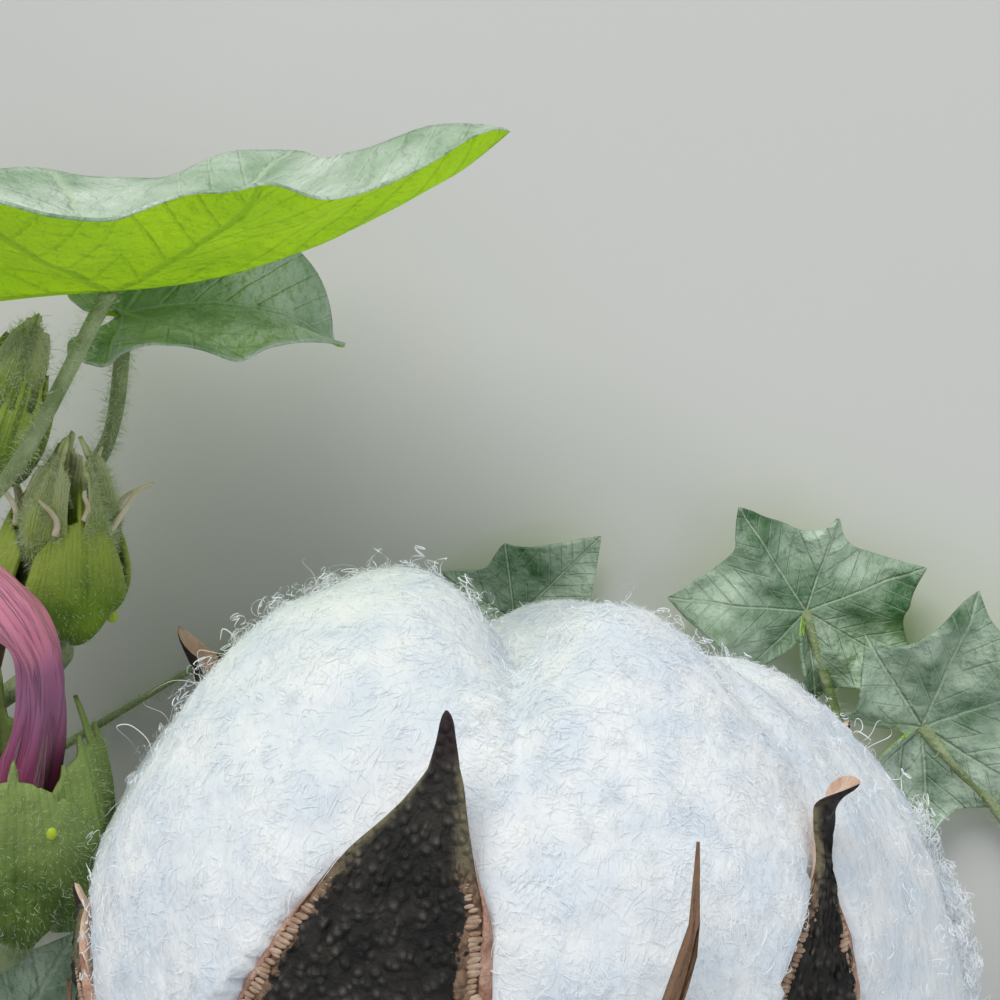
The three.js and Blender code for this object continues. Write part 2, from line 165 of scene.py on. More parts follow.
def noise(points, scale, seed=0):
    """Smooth random values from -1 to 1 that change over about scale millimetres."""
    place = np.asarray(points, float) / scale + seed * 17.31
    cell = np.floor(place)
    blend = place - cell
    blend = blend * blend * (3 - 2 * blend)
    total = np.zeros(len(place))
    for corner in product((0, 1), repeat=3):
        key = np.sin((cell + corner) @ (127.1, 311.7, 74.7)) * 43758.5453
        total += (key - np.floor(key)) * np.prod(np.where(corner, blend, 1 - blend), axis=1)
    return 2 * total - 1


def cup(foot, axis):
    """An axis about which valves, lint and bracts are placed, with its front upwards."""
    along = unit(axis)
    right = unit(np.cross(along, (0, 0, 1)))
    return {"foot": np.array(foot, float), "along": along, "right": right, "front": np.cross(right, along)}


def outward_of(about, azimuth):
    turn = np.radians(azimuth)[..., None]
    return about["front"] * np.cos(turn) + about["right"] * np.sin(turn)


def place_in(about, azimuth, radius, height, sideways):
    azimuth = np.broadcast_to(np.asarray(azimuth, float), np.shape(radius))
    outward = outward_of(about, azimuth)
    across = np.cross(about["along"], outward)
    return (about["foot"] + outward * np.asarray(radius)[..., None]
            + about["along"] * np.asarray(height)[..., None] + across * np.asarray(sideways)[..., None])


BOLL = cup((0, 0, 36), (0, 1, 0))
FLOWER = cup((-48, 0, 21), (0.05, 0.97, 0.22))
LOWER_BUD = cup((-44, 26.5, 21), (0.12, 0.96, 0.25))
UPPER_BUD = cup((-50.5, 40.5, 25.5), (0.35, 0.92, 0.15))


def on_axis(about, height):
    return about["foot"] + about["along"] * height


# The plant's forms, as in the source

STEM = {"route": [[30, -100, 3.4], [12, -80, 3.3], [-6, -64, 3.2], [-28, -38, 3], [-54, -8, 2.7],
                  [-55, 14, 5], [-50, 32, 13]],
        "radii": [3.3, 3.1, 2.9, 2.6, 2.3, 1.9, 1.4], "grid": (36, 260)}
BOLL_STALK = {"route": [[-6, -64, 3.2], [-5, -62, 18], [-1.5, -54, 31], on_axis(BOLL, -47),
                        on_axis(BOLL, -42.3)],
              "radii": [2.2, 2, 2, 2.3, 3], "grid": (28, 90)}
FLOWER_STALK = {"route": [[-54.6, 2, 3.3], [-57.5, -1, 10], [-52.5, -6, 17], on_axis(FLOWER, -4),
                          on_axis(FLOWER, -1.3)],
                "radii": [1.6, 1.3, 1.4, 1.6, 1.9], "grid": (20, 50)}
LOWER_BUD_STALK = {"route": [[-55, 12, 4.7], [-52, 18, 12], on_axis(LOWER_BUD, -3.5),
                             on_axis(LOWER_BUD, -1.1)],
                   "radii": [1.3, 1.1, 1.2, 1.5], "grid": (20, 40)}
UPPER_BUD_STALK = {"route": [[-50.4, 31, 12.4], [-55, 36, 17], on_axis(UPPER_BUD, -2.5),
                             on_axis(UPPER_BUD, -1.1)],
                   "radii": [1.2, 1, 1.1, 1.3], "grid": (20, 40)}
COROLLA = {"route": [[-47.9, 1.3, 21.3], [-47.5, 8.3, 23], [-45.6, 14.5, 26], [-44, 20.5, 30],
                     [-43.9, 25.3, 34], [-46.8, 29.5, 37], [-54, 35, 39]],
           "radii": [2.6, 3, 2.6, 2.1, 2.1, 2.6, 2.2], "grid": (60, 120)}

# Each valve's half widths at shares of its length, and how far its middle lies to one side
BROAD = [(0, 3.6), (0.125, 8), (0.25, 11), (0.375, 12.6), (0.5, 13.2), (0.6, 12.9), (0.7, 11.3),
         (0.75, 9.8), (0.815, 7.9), (0.848, 6.3), (0.877, 5.1), (0.904, 3.3), (0.934, 1.9), (0.969, 0.85),
         (0.985, 0.6), (1, 0.45)]
BEAKED = [(0, 3.6), (0.125, 8), (0.25, 11), (0.375, 12), (0.5, 11), (0.625, 8.3), (0.7, 6), (0.75, 4.8),
          (0.8, 3.5), (0.85, 1.5), (0.875, 0.65), (0.89, 0.45), (0.9, 0.5), (0.92, 1.3), (0.945, 2),
          (0.965, 1.7), (0.985, 0.9), (1, 0.25)]
POINTED = [(0, 3.6), (0.125, 8), (0.25, 11), (0.375, 12), (0.5, 11), (0.625, 9.4), (0.75, 7.4), (0.875, 5.3),
           (0.92, 4.5), (0.945, 3.8), (0.96, 2.6), (0.98, 1.1), (1, 0.4)]
STRAIGHT = [(0, 0), (1, 0)]
LEFTWARD = [(0, 0), (0.6, -0.4), (0.75, -1.1), (0.815, -1.0), (0.877, -1.2), (0.904, -0.5), (0.934, 0),
            (1, 0)]
VALVES = [
    {"name": "front", "azimuth": -22, "lean": 13, "belly": 40, "tip": [36, 22.7], "hook": 12, "twist": 0,
     "half_widths": BROAD, "shift": LEFTWARD},
    {"name": "right", "azimuth": 38, "lean": 3, "belly": 39, "tip": [35.5, 18.8], "hook": 84, "twist": 44,
     "half_widths": BEAKED, "shift": STRAIGHT},
    {"name": "under", "azimuth": 122, "lean": 0, "belly": 38, "tip": [35, 18], "hook": 30, "twist": 0,
     "half_widths": BROAD, "shift": STRAIGHT},
    {"name": "back", "azimuth": -155, "lean": 30, "belly": 34.5, "tip": [38, 27.5], "hook": 25, "twist": 0,
     "half_widths": POINTED, "shift": STRAIGHT},
    {"name": "left", "azimuth": -88, "lean": 0, "belly": 39, "tip": [38.5, 4.5], "hook": 15, "twist": 0,
     "half_widths": BROAD, "shift": STRAIGHT},
]
FINE_VALVES = ("front", "right")
VALVE_WRAP = 9
BEAK_START = 0.86
BEAK_BEND = 1.5
for valve in VALVES:
    belly = valve["belly"]
    valve["spine"] = [[7.5, -36], [belly - 6, -35], [belly, -8], valve["tip"]]
    valve["wrap"] = VALVE_WRAP

LOCKS = [
    {"name": "left_front", "between": [-88, -9], "azimuth": -50, "out": 15, "height": 2,
     "reach": [25, 30.5, 27], "front": True},
    {"name": "middle", "between": [-9, 41], "azimuth": 22, "out": 18, "height": 0,
     "reach": [21, 30, 25], "front": True},
    {"name": "right", "between": [41, 122], "azimuth": 88, "out": 17, "height": -5,
     "reach": [23, 30, 26], "front": True},
    {"name": "under", "between": [122, 205], "azimuth": 162, "out": 17, "height": 0,
     "reach": [24, 29, 24], "front": False},
    {"name": "left_back", "between": [205, 272], "azimuth": 239, "out": 17, "height": 1,
     "reach": [25.5, 29, 24], "front": False},
]

BOLL_BRACT = {"half_widths": [3, 9, 13, 14, 13, 10], "wrap": 16, "teeth": 7, "body": 0.56, "edge": 0.8,
              "middle": 1, "lean": 0}
BOLL_BRACT_RIBS = 0.22
BOLL_BRACTS = [
    {**BOLL_BRACT, "name": "front", "azimuth": 5, "lean": 14,
     "spine": [[7.6, -41], [34, -46], [46.5, -20], [41, 12.5]]},
    {**BOLL_BRACT, "name": "under", "azimuth": 138, "half_widths": [3, 7, 9, 10, 9, 7],
     "spine": [[7.6, -41], [26, -45], [37, -34], [37.5, -16]]},
    {**BOLL_BRACT, "name": "left", "azimuth": -103, "spine": [[7.6, -41], [32, -46], [43, -26], [43, -6]]},
]
FLOWER_BRACT = {"half_widths": [2.6, 7, 9.4, 9.8, 8.6, 6], "wrap": 4, "teeth": 7, "edge": 0.97,
                "middle": 1, "lean": 0}
FLOWER_BRACTS = [{"azimuth": 8, "belly": 10.6, "tip": [8.8, 17.5], "body": 0.93},
                 {"azimuth": 80, "belly": 11, "tip": [5.5, 21.5], "body": 0.88},
                 {"azimuth": 216, "belly": 10.4, "tip": [7, 25], "body": 0.8}]
BUD_BRACT = {"half_widths": [2, 5.6, 7.8, 7.6, 6, 4], "wrap": 4, "teeth": 5, "edge": 0.95, "middle": 1,
             "lean": 0}
BUDS = [
    {"name": "lower", "about": LOWER_BUD, "spine": [[0.6, 0], [8.5, -0.5], [7.6, 7], [2.8, 14.5]],
     "width": 7.5, "body": 0.88, "teeth": (-0.6, 0, 0.6), "inner": (-20, 60, 200), "rise": 4.5},
    {"name": "upper", "about": UPPER_BUD, "spine": [[0.6, 0], [5.4, -0.3], [5, 7], [2, 14]], "width": 5,
     "body": 0.72, "teeth": (), "inner": (10, 190), "rise": 2.5},
]

LEAVES = [
    {"name": "upper_left", "foot": [-36.4, 57.3, 40], "along": [0.99, 0.06, 0], "up": [-0.06, 0.98, 0.2],
     "size": 38.8, "lobes": [1, 0.74, 0.72, 0.6], "round": 9, "fold": 20, "back_fold": 9, "curl": -0.016,
     "droop": 0.03, "top": "pale_leaf_painted_sheen", "wrinkle": 0.8,
     "stalk": [[-54.3, 18, 6.6], [-59, 25, 20], [-55, 33, 31.5], [-46, 41, 35.5], [-36.4, 57.3, 40]],
     "radii": [1.1, 0.85, 0.75, 0.7, 0.75]},
    {"name": "drooping", "foot": [-36.8, 56, 26], "along": [0.96, 0.27, 0], "up": [-0.2, 0.7, 0.68],
     "size": 22.5, "lobes": [0.96, 0.62, 0.12, 0.1], "round": 24, "fold": 18, "curl": 0.045, "droop": 0.045,
     "top": "pale_leaf_painted_sheen",
     "stalk": [[-52, 27, 10.4], [-45, 38, 9.5], [-39.5, 45, 17], [-36.8, 56, 26]],
     "radii": [1.2, 0.9, 0.75, 0.8]},
    {"name": "lower_left", "foot": [-62, -34, 7], "along": [0.5, 0.82, 0.2], "up": [-0.1, -0.18, 0.97],
     "size": 35, "lobes": [1, 0.76, 0.55, 0.4], "round": 0, "fold": 10, "curl": 0.01, "droop": 0.01,
     "stalk": [[-31, -34.5, 3], [-46, -39, 4], [-62, -34, 7]], "radii": [1.3, 1, 0.9]},
    {"name": "behind_boll", "foot": [-0.3, 26.5, 2.3], "along": [0.7, 0.7, 0.12], "up": [0, -0.12, 0.98],
     "size": 12.5, "lobes": [1, 0.6, 0.75, 0.3], "round": 0, "fold": 3, "curl": -0.02, "droop": 0.01,
     "stalk": [[-54.9, 8, 4], [-44, 15, 2.2], [-28, 24, 1.8], [-14, 28, 1.8], [-0.3, 26.5, 2.3]],
     "radii": [0.8, 0.4, 0.32, 0.3, 0.35]},
    {"name": "right_upper", "foot": [29, 27.5, 5], "along": [0.31, 0.94, 0.1], "up": [0.05, -0.15, 0.97],
     "size": 14, "lobes": [0.7, 0.9, 1, 0.7], "round": 0, "fold": 4, "curl": 0.008, "droop": 0.008,
     "stalk": [[-4, -66, 3.2], [22, -42, 2.6], [32, -14, 1.8], [34, 8, 1.8], [29, 27.5, 5]],
     "radii": [1.4, 1.1, 0.9, 0.6, 0.55], "wrinkle": 4},
    {"name": "right_lower", "foot": [40.5, 16, 6], "along": [0.93, 0.3, 0.1], "up": [0, -0.35, 0.94],
     "size": 19, "lobes": [1, 0.8, 0.6, 0.45], "round": 0, "fold": 6, "curl": 0.006, "droop": 0.006,
     "stalk": [[18, -87, 3.3], [46, -55, 2.4], [54, -25, 1.9], [53, 0, 2.2], [40.5, 16, 6]],
     "radii": [1.5, 1.2, 1, 0.75, 0.65], "wrinkle": 2.4},
]

RECEPTACLE_PROFILE = [[0, -42], [6.8, -42], [7.2, -40], [7.2, -35], [5, -34.2], [0, -34.2]]
CALYX_PROFILE = [[0, -1], [3.4, -1], [4.6, 1.5], [4.9, 7], [4.2, 7], [3.7, 1], [0, 1]]

# Creases between the locks, each fading in between two heights along the boll's axis
CREASES = [
    {"azimuth": -1, "depth": 2.0, "width": 1.6, "from": 10, "full": 24},
    {"azimuth": 0, "depth": 3.6, "width": 4.6, "from": 21, "full": 29},
    {"azimuth": 45, "depth": 1.2, "width": 2.2, "from": 10, "full": 26},
    {"azimuth": 122, "depth": 1.6, "width": 2.4, "from": 8, "full": 26},
    {"azimuth": 205, "depth": 1.6, "width": 2.4, "from": 8, "full": 26},
    {"azimuth": 272, "depth": 1.2, "width": 2.2, "from": 12, "full": 27},
]

# Broad hollows and swellings of the lint: a place, how wide and how deep
HOLLOWS = [((-32, 17, 38), 8.5, 4.2), ((-22, 25, 38), 7, 2.2), ((-11, 32, 40), 6, -1.4),
           ((10, 29, 42), 6, -0.8), ((19, 23.5, 42), 3.2, 1.8), ((38, 3, 40), 7, 1.2)]

# Floor, sky and lamps: each lamp's place and size in metres, its power and its colour
FLOOR_COLOUR = (0.66, 0.66, 0.64)
FLOOR_SIZE = 3
SKY_COLOUR = (0.92, 0.96, 1.0)
SKY_STRENGTH = 0.44
LAMPS = {"key": ((-0.26, 0.74, 0.66), 0.6, 5.6, (1.0, 0.985, 0.96)),
         "fill": ((0.65, -0.35, 0.55), 0.8, 1.6, (0.92, 0.96, 1.0))}


# Materials

def new_material(name, roughness):
    """A material and its shader."""
    material = bpy.data.materials.new(name)
    material.use_nodes = True
    shader = material.node_tree.nodes["Principled BSDF"]
    shader.inputs["Roughness"].default_value = roughness
    return material, shader


def add_node(tree, kind, values=None, **settings):
    """A node with its settings and its inputs, each a number, a colour or another node's socket."""
    node = tree.nodes.new(kind)
    for name, value in settings.items():
        setattr(node, name, value)
    for name, value in (values or {}).items():
        if isinstance(value, bpy.types.NodeSocket):
            tree.links.new(value, node.inputs[name])
        else:
            node.inputs[name].default_value = value
    return node


def calculate(operation, *values):
    """The result of one sum on sockets and numbers."""
    tree = next(value for value in values if isinstance(value, bpy.types.NodeSocket)).id_data
    return add_node(tree, "ShaderNodeMath", dict(enumerate(values)), operation=operation).outputs[0]


def plus(a, b):
    return calculate("ADD", a, b)


def times(a, b):
    return calculate("MULTIPLY", a, b)


def smooth_range(value, low, high):
    """0 where a value is at low and 1 where it is at high, with smooth ends."""
    return add_node(value.id_data, "ShaderNodeMapRange", {"Value": value, "From Min": low, "From Max": high},
                    interpolation_type="SMOOTHSTEP").outputs[0]


# The mix node's sockets for its share, its two colours and the colour that it gives
MIX_SHARE, MIX_FIRST, MIX_SECOND, MIX_RESULT = 0, 6, 7, 2


def blend_colours(share, first, second):
    """A mix of two colours, each given as numbers or as a socket."""
    ends = {number: value if isinstance(value, bpy.types.NodeSocket) else (*value, 1)
            for number, value in ((MIX_FIRST, first), (MIX_SECOND, second))}
    mix = add_node(share.id_data, "ShaderNodeMix", {MIX_SHARE: share, **ends}, data_type="RGBA")
    return mix.outputs[MIX_RESULT]


def own_place(shader):
    """A place on the object's own coordinates."""
    return add_node(shader.id_data, "ShaderNodeTexCoord").outputs["Object"]


def flat_place(shader):
    """A place on the piece's flat map, with how far across and along it lies."""
    place = add_node(shader.id_data, "ShaderNodeUVMap", uv_map="UVMap").outputs[0]
    parts = add_node(shader.id_data, "ShaderNodeSeparateXYZ", {0: place})
    return place, parts.outputs[0], parts.outputs[1]


def speckle(shader, scale, detail, low, high, stretch=(1, 1, 1)):
    """A noise pattern on the object's own coordinates, in grains of about 1 / scale metres, from 0 to 1."""
    tree = shader.id_data
    turned = add_node(tree, "ShaderNodeMapping", {"Vector": own_place(shader), "Scale": stretch}).outputs[0]
    cloud = add_node(tree, "ShaderNodeTexNoise", {"Vector": turned, "Scale": scale, "Detail": detail})
    return add_node(tree, "ShaderNodeMapRange",
                    {"Value": cloud.outputs[0], "From Min": low, "From Max": high}).outputs[0]


def add_relief(shader, height, distance, strength=1.0):
    """Bumps of the given height in metres on a surface."""
    bump = add_node(shader.id_data, "ShaderNodeBump",
                    {"Height": height, "Distance": distance, "Strength": strength})
    shader.id_data.links.new(bump.outputs[0], shader.inputs["Normal"])


def set_colour(shader, colour):
    if isinstance(colour, bpy.types.NodeSocket):
        shader.id_data.links.new(colour, shader.inputs["Base Color"])
    else:
        shader.inputs["Base Color"].default_value = (*colour, 1)


def plain_material(name, colour, roughness):
    material, shader = new_material(name, roughness)
    set_colour(shader, colour)
    return material


def cotton_material(name, roughness, gloss, colours, felted):
    """White fibre, a little cool, with cloudy darker blue patches of painted bluish shade, and matted where
    it is felted.
    """
    material, shader = new_material(name, roughness)
    shader.inputs["Specular IOR Level"].default_value = gloss
    # The cloudy blend runs from painted bluish shade to near-white fibre
    set_colour(shader, blend_colours(speckle(shader, 240, 6, 0.36, 0.64), *colours))
    if felted:
        add_relief(shader, speckle(shader, 900, 7, 0.3, 0.7, (1, 0.45, 0.8)), 0.0004, 0.6)
    return material


# The colours of the bur's outside: the wart colour is a painted grey highlight on the tops of the warts, over
# dark patches between them
BUR = {"hollow": (0.008, 0.007, 0.006), "ground": (0.030, 0.026, 0.020), "painted_wart_highlight": (0.135, 0.127, 0.112),
       "seam": (0.25, 0.155, 0.095), "olive": (0.27, 0.23, 0.13), "tip": (0.030, 0.015, 0.017)}


def valve_outer_material():
    """The bur's dark, warty outside with a painted grey highlight on each wart's top, tan beside its seams
    and olive near its purple-brown tip.
    """
    material, shader = new_material("valve_outer", 0.8)
    _, across, along = flat_place(shader)
    edge = times(calculate("ABSOLUTE", calculate("SUBTRACT", across, 0.5)), 2)
    cells = add_node(shader.id_data, "ShaderNodeTexVoronoi", {"Vector": own_place(shader), "Scale": 980.0})
    warts = smooth_range(cells.outputs[0], 0.62, 0.12)
    patches = speckle(shader, 330, 5, 0.42, 0.68)
    dark = blend_colours(patches, BUR["hollow"], BUR["ground"])
    # Painted highlight: each wart's centre is lightened towards grey as if lit, with the dark colour left
    # between the warts
    lit = times(warts, calculate("MULTIPLY_ADD", patches, 0.75, 0.15))
    body = blend_colours(lit, dark, BUR["painted_wart_highlight"])
    rough = speckle(shader, 900, 4, 0.3, 0.7)
    ragged = plus(edge, calculate("MULTIPLY_ADD", rough, 0.22, -0.11))
    beside = times(smooth_range(ragged, 0.78, 0.84), smooth_range(along, 0.88, 0.84))
    seamed = blend_colours(beside, body, BUR["seam"])
    near_tip = times(smooth_range(along, 0.83, 0.88), smooth_range(along, 0.975, 0.945))
    fringe = times(near_tip, smooth_range(ragged, 0.6, 1.0))
    fringed = blend_colours(times(fringe, 0.65), seamed, BUR["olive"])
    set_colour(shader, blend_colours(smooth_range(along, 0.94, 0.975), fringed, BUR["tip"]))
    add_relief(shader, plus(warts, times(rough, 0.5)), 0.0006)
    return material


def mottled_material(name, colours, scale, roughness, relief, stretch=(1, 1, 1)):
    """A matt surface whose colour wanders between two colours, with fine relief in metres."""
    material, shader = new_material(name, roughness)
    set_colour(shader, blend_colours(speckle(shader, scale, 4, 0.35, 0.68, stretch), *colours))
    add_relief(shader, speckle(shader, scale * 4, 4, 0.3, 0.7, stretch), relief)
    return material


def vein_lines(shader):
    """0 between a leaf's veins and 1 on them, from its flat map: a main vein a lobe, with side veins."""
    _, across, along = flat_place(shader)
    sideways = calculate("SUBTRACT", across, 0.5)
    forward = calculate("SUBTRACT", along, 0.5)
    lobe = math.radians(LOBE_ANGLE)
    angle = calculate("ARCTAN2", sideways, forward)
    away = calculate("ABSOLUTE", calculate("WRAP", angle, lobe / 2, -lobe / 2))
    radius = calculate("SQRT", plus(times(sideways, sideways), times(forward, forward)))
    beside = times(radius, calculate("SINE", away))
    ahead = times(radius, calculate("COSINE", away))
    main = times(smooth_range(beside, 0.008, 0.001), 0.7)
    step = calculate("SUBTRACT", ahead, times(beside, 1.1))
    chevron = calculate("ABSOLUTE", calculate("WRAP", step, 0.03, -0.03))
    return calculate("MAXIMUM", main, times(smooth_range(chevron, 0.006, 0.001), 0.35))


def leaf_material(name, ground, patch, vein, roughness):
    """A leaf's skin, mottled between two colours and quilted between its veins."""
    material, shader = new_material(name, roughness)
    veins = vein_lines(shader)
    surface = blend_colours(speckle(shader, 130, 5, 0.34, 0.66), ground, patch)
    set_colour(shader, blend_colours(veins, surface, vein))
    add_relief(shader, plus(times(veins, -0.8), speckle(shader, 700, 3, 0.3, 0.7)), 0.0004)
    return material


# The wilted petals' colours from the tube's base to its mouth
PETAL_COLOURS = [(0.0, (0.22, 0.05, 0.03)), (0.2, (0.36, 0.03, 0.12)), (0.36, (0.42, 0.09, 0.22)),
                 (0.5, (0.42, 0.15, 0.30)), (0.62, (0.50, 0.17, 0.33)), (0.7, (0.86, 0.28, 0.42)),
                 (1.0, (0.90, 0.34, 0.50))]
PETAL_STREAKS = (0.80, 0.66, 0.66)


def petal_material():
    """A wilted petal tube with pale streaks, most of them near its base."""
    material, shader = new_material("petal", 0.6)
    place, _, along = flat_place(shader)
    ramp = add_node(shader.id_data, "ShaderNodeValToRGB", {0: along})
    while len(ramp.color_ramp.elements) < len(PETAL_COLOURS):
        ramp.color_ramp.elements.new(0.5)
    for element, (position, colour) in zip(ramp.color_ramp.elements, PETAL_COLOURS):
        element.position = position
        element.color = (*colour, 1)
    lined = add_node(shader.id_data, "ShaderNodeMapping", {"Vector": place, "Scale": (9, 0.8, 1)}).outputs[0]
    cloud = add_node(shader.id_data, "ShaderNodeTexNoise", {"Vector": lined, "Scale": 5.0, "Detail": 4.0})
    lines = smooth_range(cloud.outputs[0], 0.5, 0.72)
    pale = times(lines, calculate("MULTIPLY_ADD", smooth_range(along, 0.5, 0.25), 0.65, 0.15))
    set_colour(shader, blend_colours(pale, ramp.outputs[0], PETAL_STREAKS))
    add_relief(shader, lines, 0.0003)
    return material


def bract_material(name, base, middle, tips):
    """A toothed bract, ribbed from its base, whose colour turns towards its tips."""
    material, shader = new_material(name, 0.75)
    _, across, along = flat_place(shader)
    patches = speckle(shader, 330, 4, 0.34, 0.68)
    surface = blend_colours(patches, base, middle)
    set_colour(shader, blend_colours(smooth_range(along, 0.5, 0.95), surface, tips))
    ribs = calculate("ABSOLUTE", calculate("SINE", times(across, 66.0)))
    add_relief(shader, plus(times(ribs, 0.25), patches), 0.0003)
    return material


# Mottled finishes: two colours, how fine their grain is, their roughness, relief in metres and stretch
MOTTLED = {
    "valve_inner": (((0.66, 0.42, 0.30), (0.86, 0.64, 0.50)), 500, 0.6, 0.0002, (1, 0.25, 1)),
    "valve_margin": (((0.36, 0.17, 0.12), (0.66, 0.42, 0.31)), 520, 0.7, 0.0002),
    "ridge": (((0.34, 0.21, 0.135), (0.62, 0.46, 0.34)), 620, 0.7, 0.0001),
    "bark": (((0.16, 0.10, 0.055), (0.34, 0.24, 0.14)), 260, 0.8, 0.0006, (1, 0.3, 1)),
    "green_stalk": (((0.20, 0.27, 0.10), (0.42, 0.50, 0.27)), 240, 0.6, 0.0003),
    "tooth": (((0.72, 0.64, 0.42), (0.94, 0.82, 0.70)), 500, 0.6, 0.0001),
}

# Leaf skins: their ground, patches and veins, and their roughness
LEAF_SKINS = {
    # The leaf top's own mottled green, widened from near-black to pale so that its patches also paint the
    # light and shade of crumples
    "leaf_top_painted_shade": ((0.06, 0.16, 0.06), (0.58, 0.72, 0.56), (0.46, 0.60, 0.42), 0.45),
    # A lit copy of the leaf top: its own pale grey-green, with pale patches of painted sheen over a darker
    # ground of painted shade
    "pale_leaf_painted_sheen": ((0.22, 0.38, 0.20), (0.66, 0.78, 0.64), (0.52, 0.68, 0.46), 0.4),
    # The underside: partly the leaf's own green and partly painted light shining through it, bright lime with
    # darker painted vein shadows
    "leaf_under_painted_glow": ((0.46, 0.80, 0.0), (0.58, 0.95, 0.0), (0.30, 0.60, 0.0), 0.85),
}

# Bracts: the colours of their base, middle and tips
BRACT_SKINS = {
    "dry_bract": ((0.20, 0.13, 0.055), (0.33, 0.19, 0.10), (0.23, 0.13, 0.075)),
    "green_bract": ((0.060, 0.125, 0.014), (0.15, 0.24, 0.035), (0.26, 0.36, 0.10)),
    "lime_bract": ((0.085, 0.18, 0.006), (0.20, 0.33, 0.012), (0.36, 0.46, 0.07)),
    "fuzzy_bract": ((0.22, 0.33, 0.04), (0.46, 0.55, 0.14), (0.62, 0.64, 0.36)),
}

MATERIALS = {
    # In each pair of colours the darker blue-grey is painted bluish shade, laid on in cloudy patches over
    # white fibre
    "lint": cotton_material("lint", 1.0, 0.1, ((0.79, 0.855, 0.92), (0.93, 0.955, 0.97)), True),
    "thread": cotton_material("lint_thread", 0.9, 0.15, ((0.86, 0.92, 0.97), (0.97, 0.985, 0.99)), False),
    "valve_outer": valve_outer_material(),
    "petal": petal_material(),
    "hair": plain_material("hair", (0.60, 0.68, 0.46), 0.8),
    "gland": plain_material("gland", (0.50, 0.66, 0.03), 0.4),
}
for skins, make in ((MOTTLED, mottled_material), (LEAF_SKINS, leaf_material), (BRACT_SKINS, bract_material)):
    MATERIALS.update({name: make(name, *values) for name, values in skins.items()})


# Making pieces

def link(name, data):
    thing = bpy.data.objects.new(name, data)
    bpy.context.scene.collection.objects.link(thing)
    return thing


def mesh_of(name, shape):
    mesh = bpy.data.meshes.new(name)
    shape.to_mesh(mesh)
    shape.free()
    return mesh


def link_piece(name, mesh, materials, nodes):
    """Links a mesh as a smooth piece that rides on the plant and stands for its solids."""
    mesh.shade_smooth()
    for material in materials:
        mesh.materials.append(MATERIALS[material])
    piece = link(name, mesh)
    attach(piece, "root")
    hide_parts(*nodes)
    return piece


def finish_piece(name, shape, materials, nodes):
    return link_piece(name, mesh_of(name, shape), materials, nodes)


def ball_shape(subdivisions, radius=1):
    shape = bmesh.new()
    bmesh.ops.create_icosphere(shape, subdivisions=subdivisions, radius=radius)
    return shape


def places_of(shape):
    return np.array([vert.co for vert in shape.verts])


def move_to(shape, places):
    """Moves each vertex to its place in millimetres."""
    for vert, place in zip(shape.verts, to_scene(places)):
        vert.co = place


def grid_shape(columns, rows, rule, closed=False, map_rule=None, material_rule=None):
    """A grid moved by a rule of how far across, from -1 to 1, and along, from 0 to 1, each point lies."""
    shape = bmesh.new()
    flat_map = shape.loops.layers.uv.new("UVMap")
    bmesh.ops.create_grid(shape, x_segments=columns, y_segments=rows, size=1, calc_uvs=True)
    flat = places_of(shape)
    if material_rule:
        for face in shape.faces:
            face.material_index = int(material_rule(face.calc_center_median().x))
    if map_rule:
        mapped = map_rule(flat[:, 0], (flat[:, 1] + 1) / 2)
        for face in shape.faces:
            for loop in face.loops:
                loop[flat_map].uv = mapped[loop.vert.index]
    move_to(shape, rule(flat[:, 0], (flat[:, 1] + 1) / 2))
    if closed:
        bmesh.ops.remove_doubles(shape, verts=shape.verts, dist=1e-6)
        bmesh.ops.holes_fill(shape, edges=shape.edges, sides=0)
        bmesh.ops.recalc_face_normals(shape, faces=shape.faces)
    return shape


def face_away(shape, way):
    """Turns the faces of an open sheet to the side that a rule points to."""
    shape.normal_update()
    centres = to_plant([face.calc_center_median() for face in shape.faces])
    normals = np.array([face.normal for face in shape.faces])
    if np.sum(normals * way(centres)) < 0:
        bmesh.ops.reverse_faces(shape, faces=shape.faces)


def away_from(about):
    """The way out from a cup's axis."""
    def way(points):
        offsets = points - about["foot"]
        return offsets - np.outer(offsets @ about["along"], about["along"])
    return way


def thicken(piece, thickness, inner=0):
    """Gives a sheet its thickness inwards, with another material for its far side."""
    wall = piece.modifiers.new("thickness", "SOLIDIFY")
    wall.thickness = thickness * MM
    wall.offset = -1
    wall.material_offset = inner
    wall.use_even_offset = False


def tube_rule(route, radii, relief=None):
    """Wraps a grid round a smooth route, with a relief that scales its radius."""
    route = [list(map(float, place)) for place in route]

    def rule(x, share):
        turn = math.pi * x
        centre = between(route, share)
        ahead = between(route, np.minimum(share + 1e-3, 1)) - between(route, np.maximum(share - 1e-3, 0))
        forward = unit(ahead)
        side = unit(np.cross(forward, SIDE_REFERENCE))
        over = np.cross(side, forward)
        radius = np.maximum(between(radii, share), 0.05)
        if relief is not None:
            radius = radius * relief(turn, share)
        return centre + side * (np.sin(turn) * radius)[:, None] + over * (np.cos(turn) * radius)[:, None]
    return rule


def tube(name, limb, material, nodes, relief):
    shape = grid_shape(*limb["grid"], tube_rule(limb["route"], limb["radii"], relief), closed=True)
    return finish_piece(name, shape, [material], nodes)


def toothed_edge(shape, across):
    """How far up a bract reaches across its width: a plain body with narrow teeth, the middle one longest."""
    if "teeth" not in shape:
        return np.ones_like(across)
    tooth = np.maximum(0, np.cos(math.pi * shape["teeth"] * across)) ** 2
    body = shape["body"] * (1 - 0.15 * across * across)
    beside = shape["edge"] * (1 - 0.2 * np.abs(across))
    top = np.where(np.abs(across) < 1 / shape["teeth"], shape["middle"], beside)
    return body + (top - body) * tooth


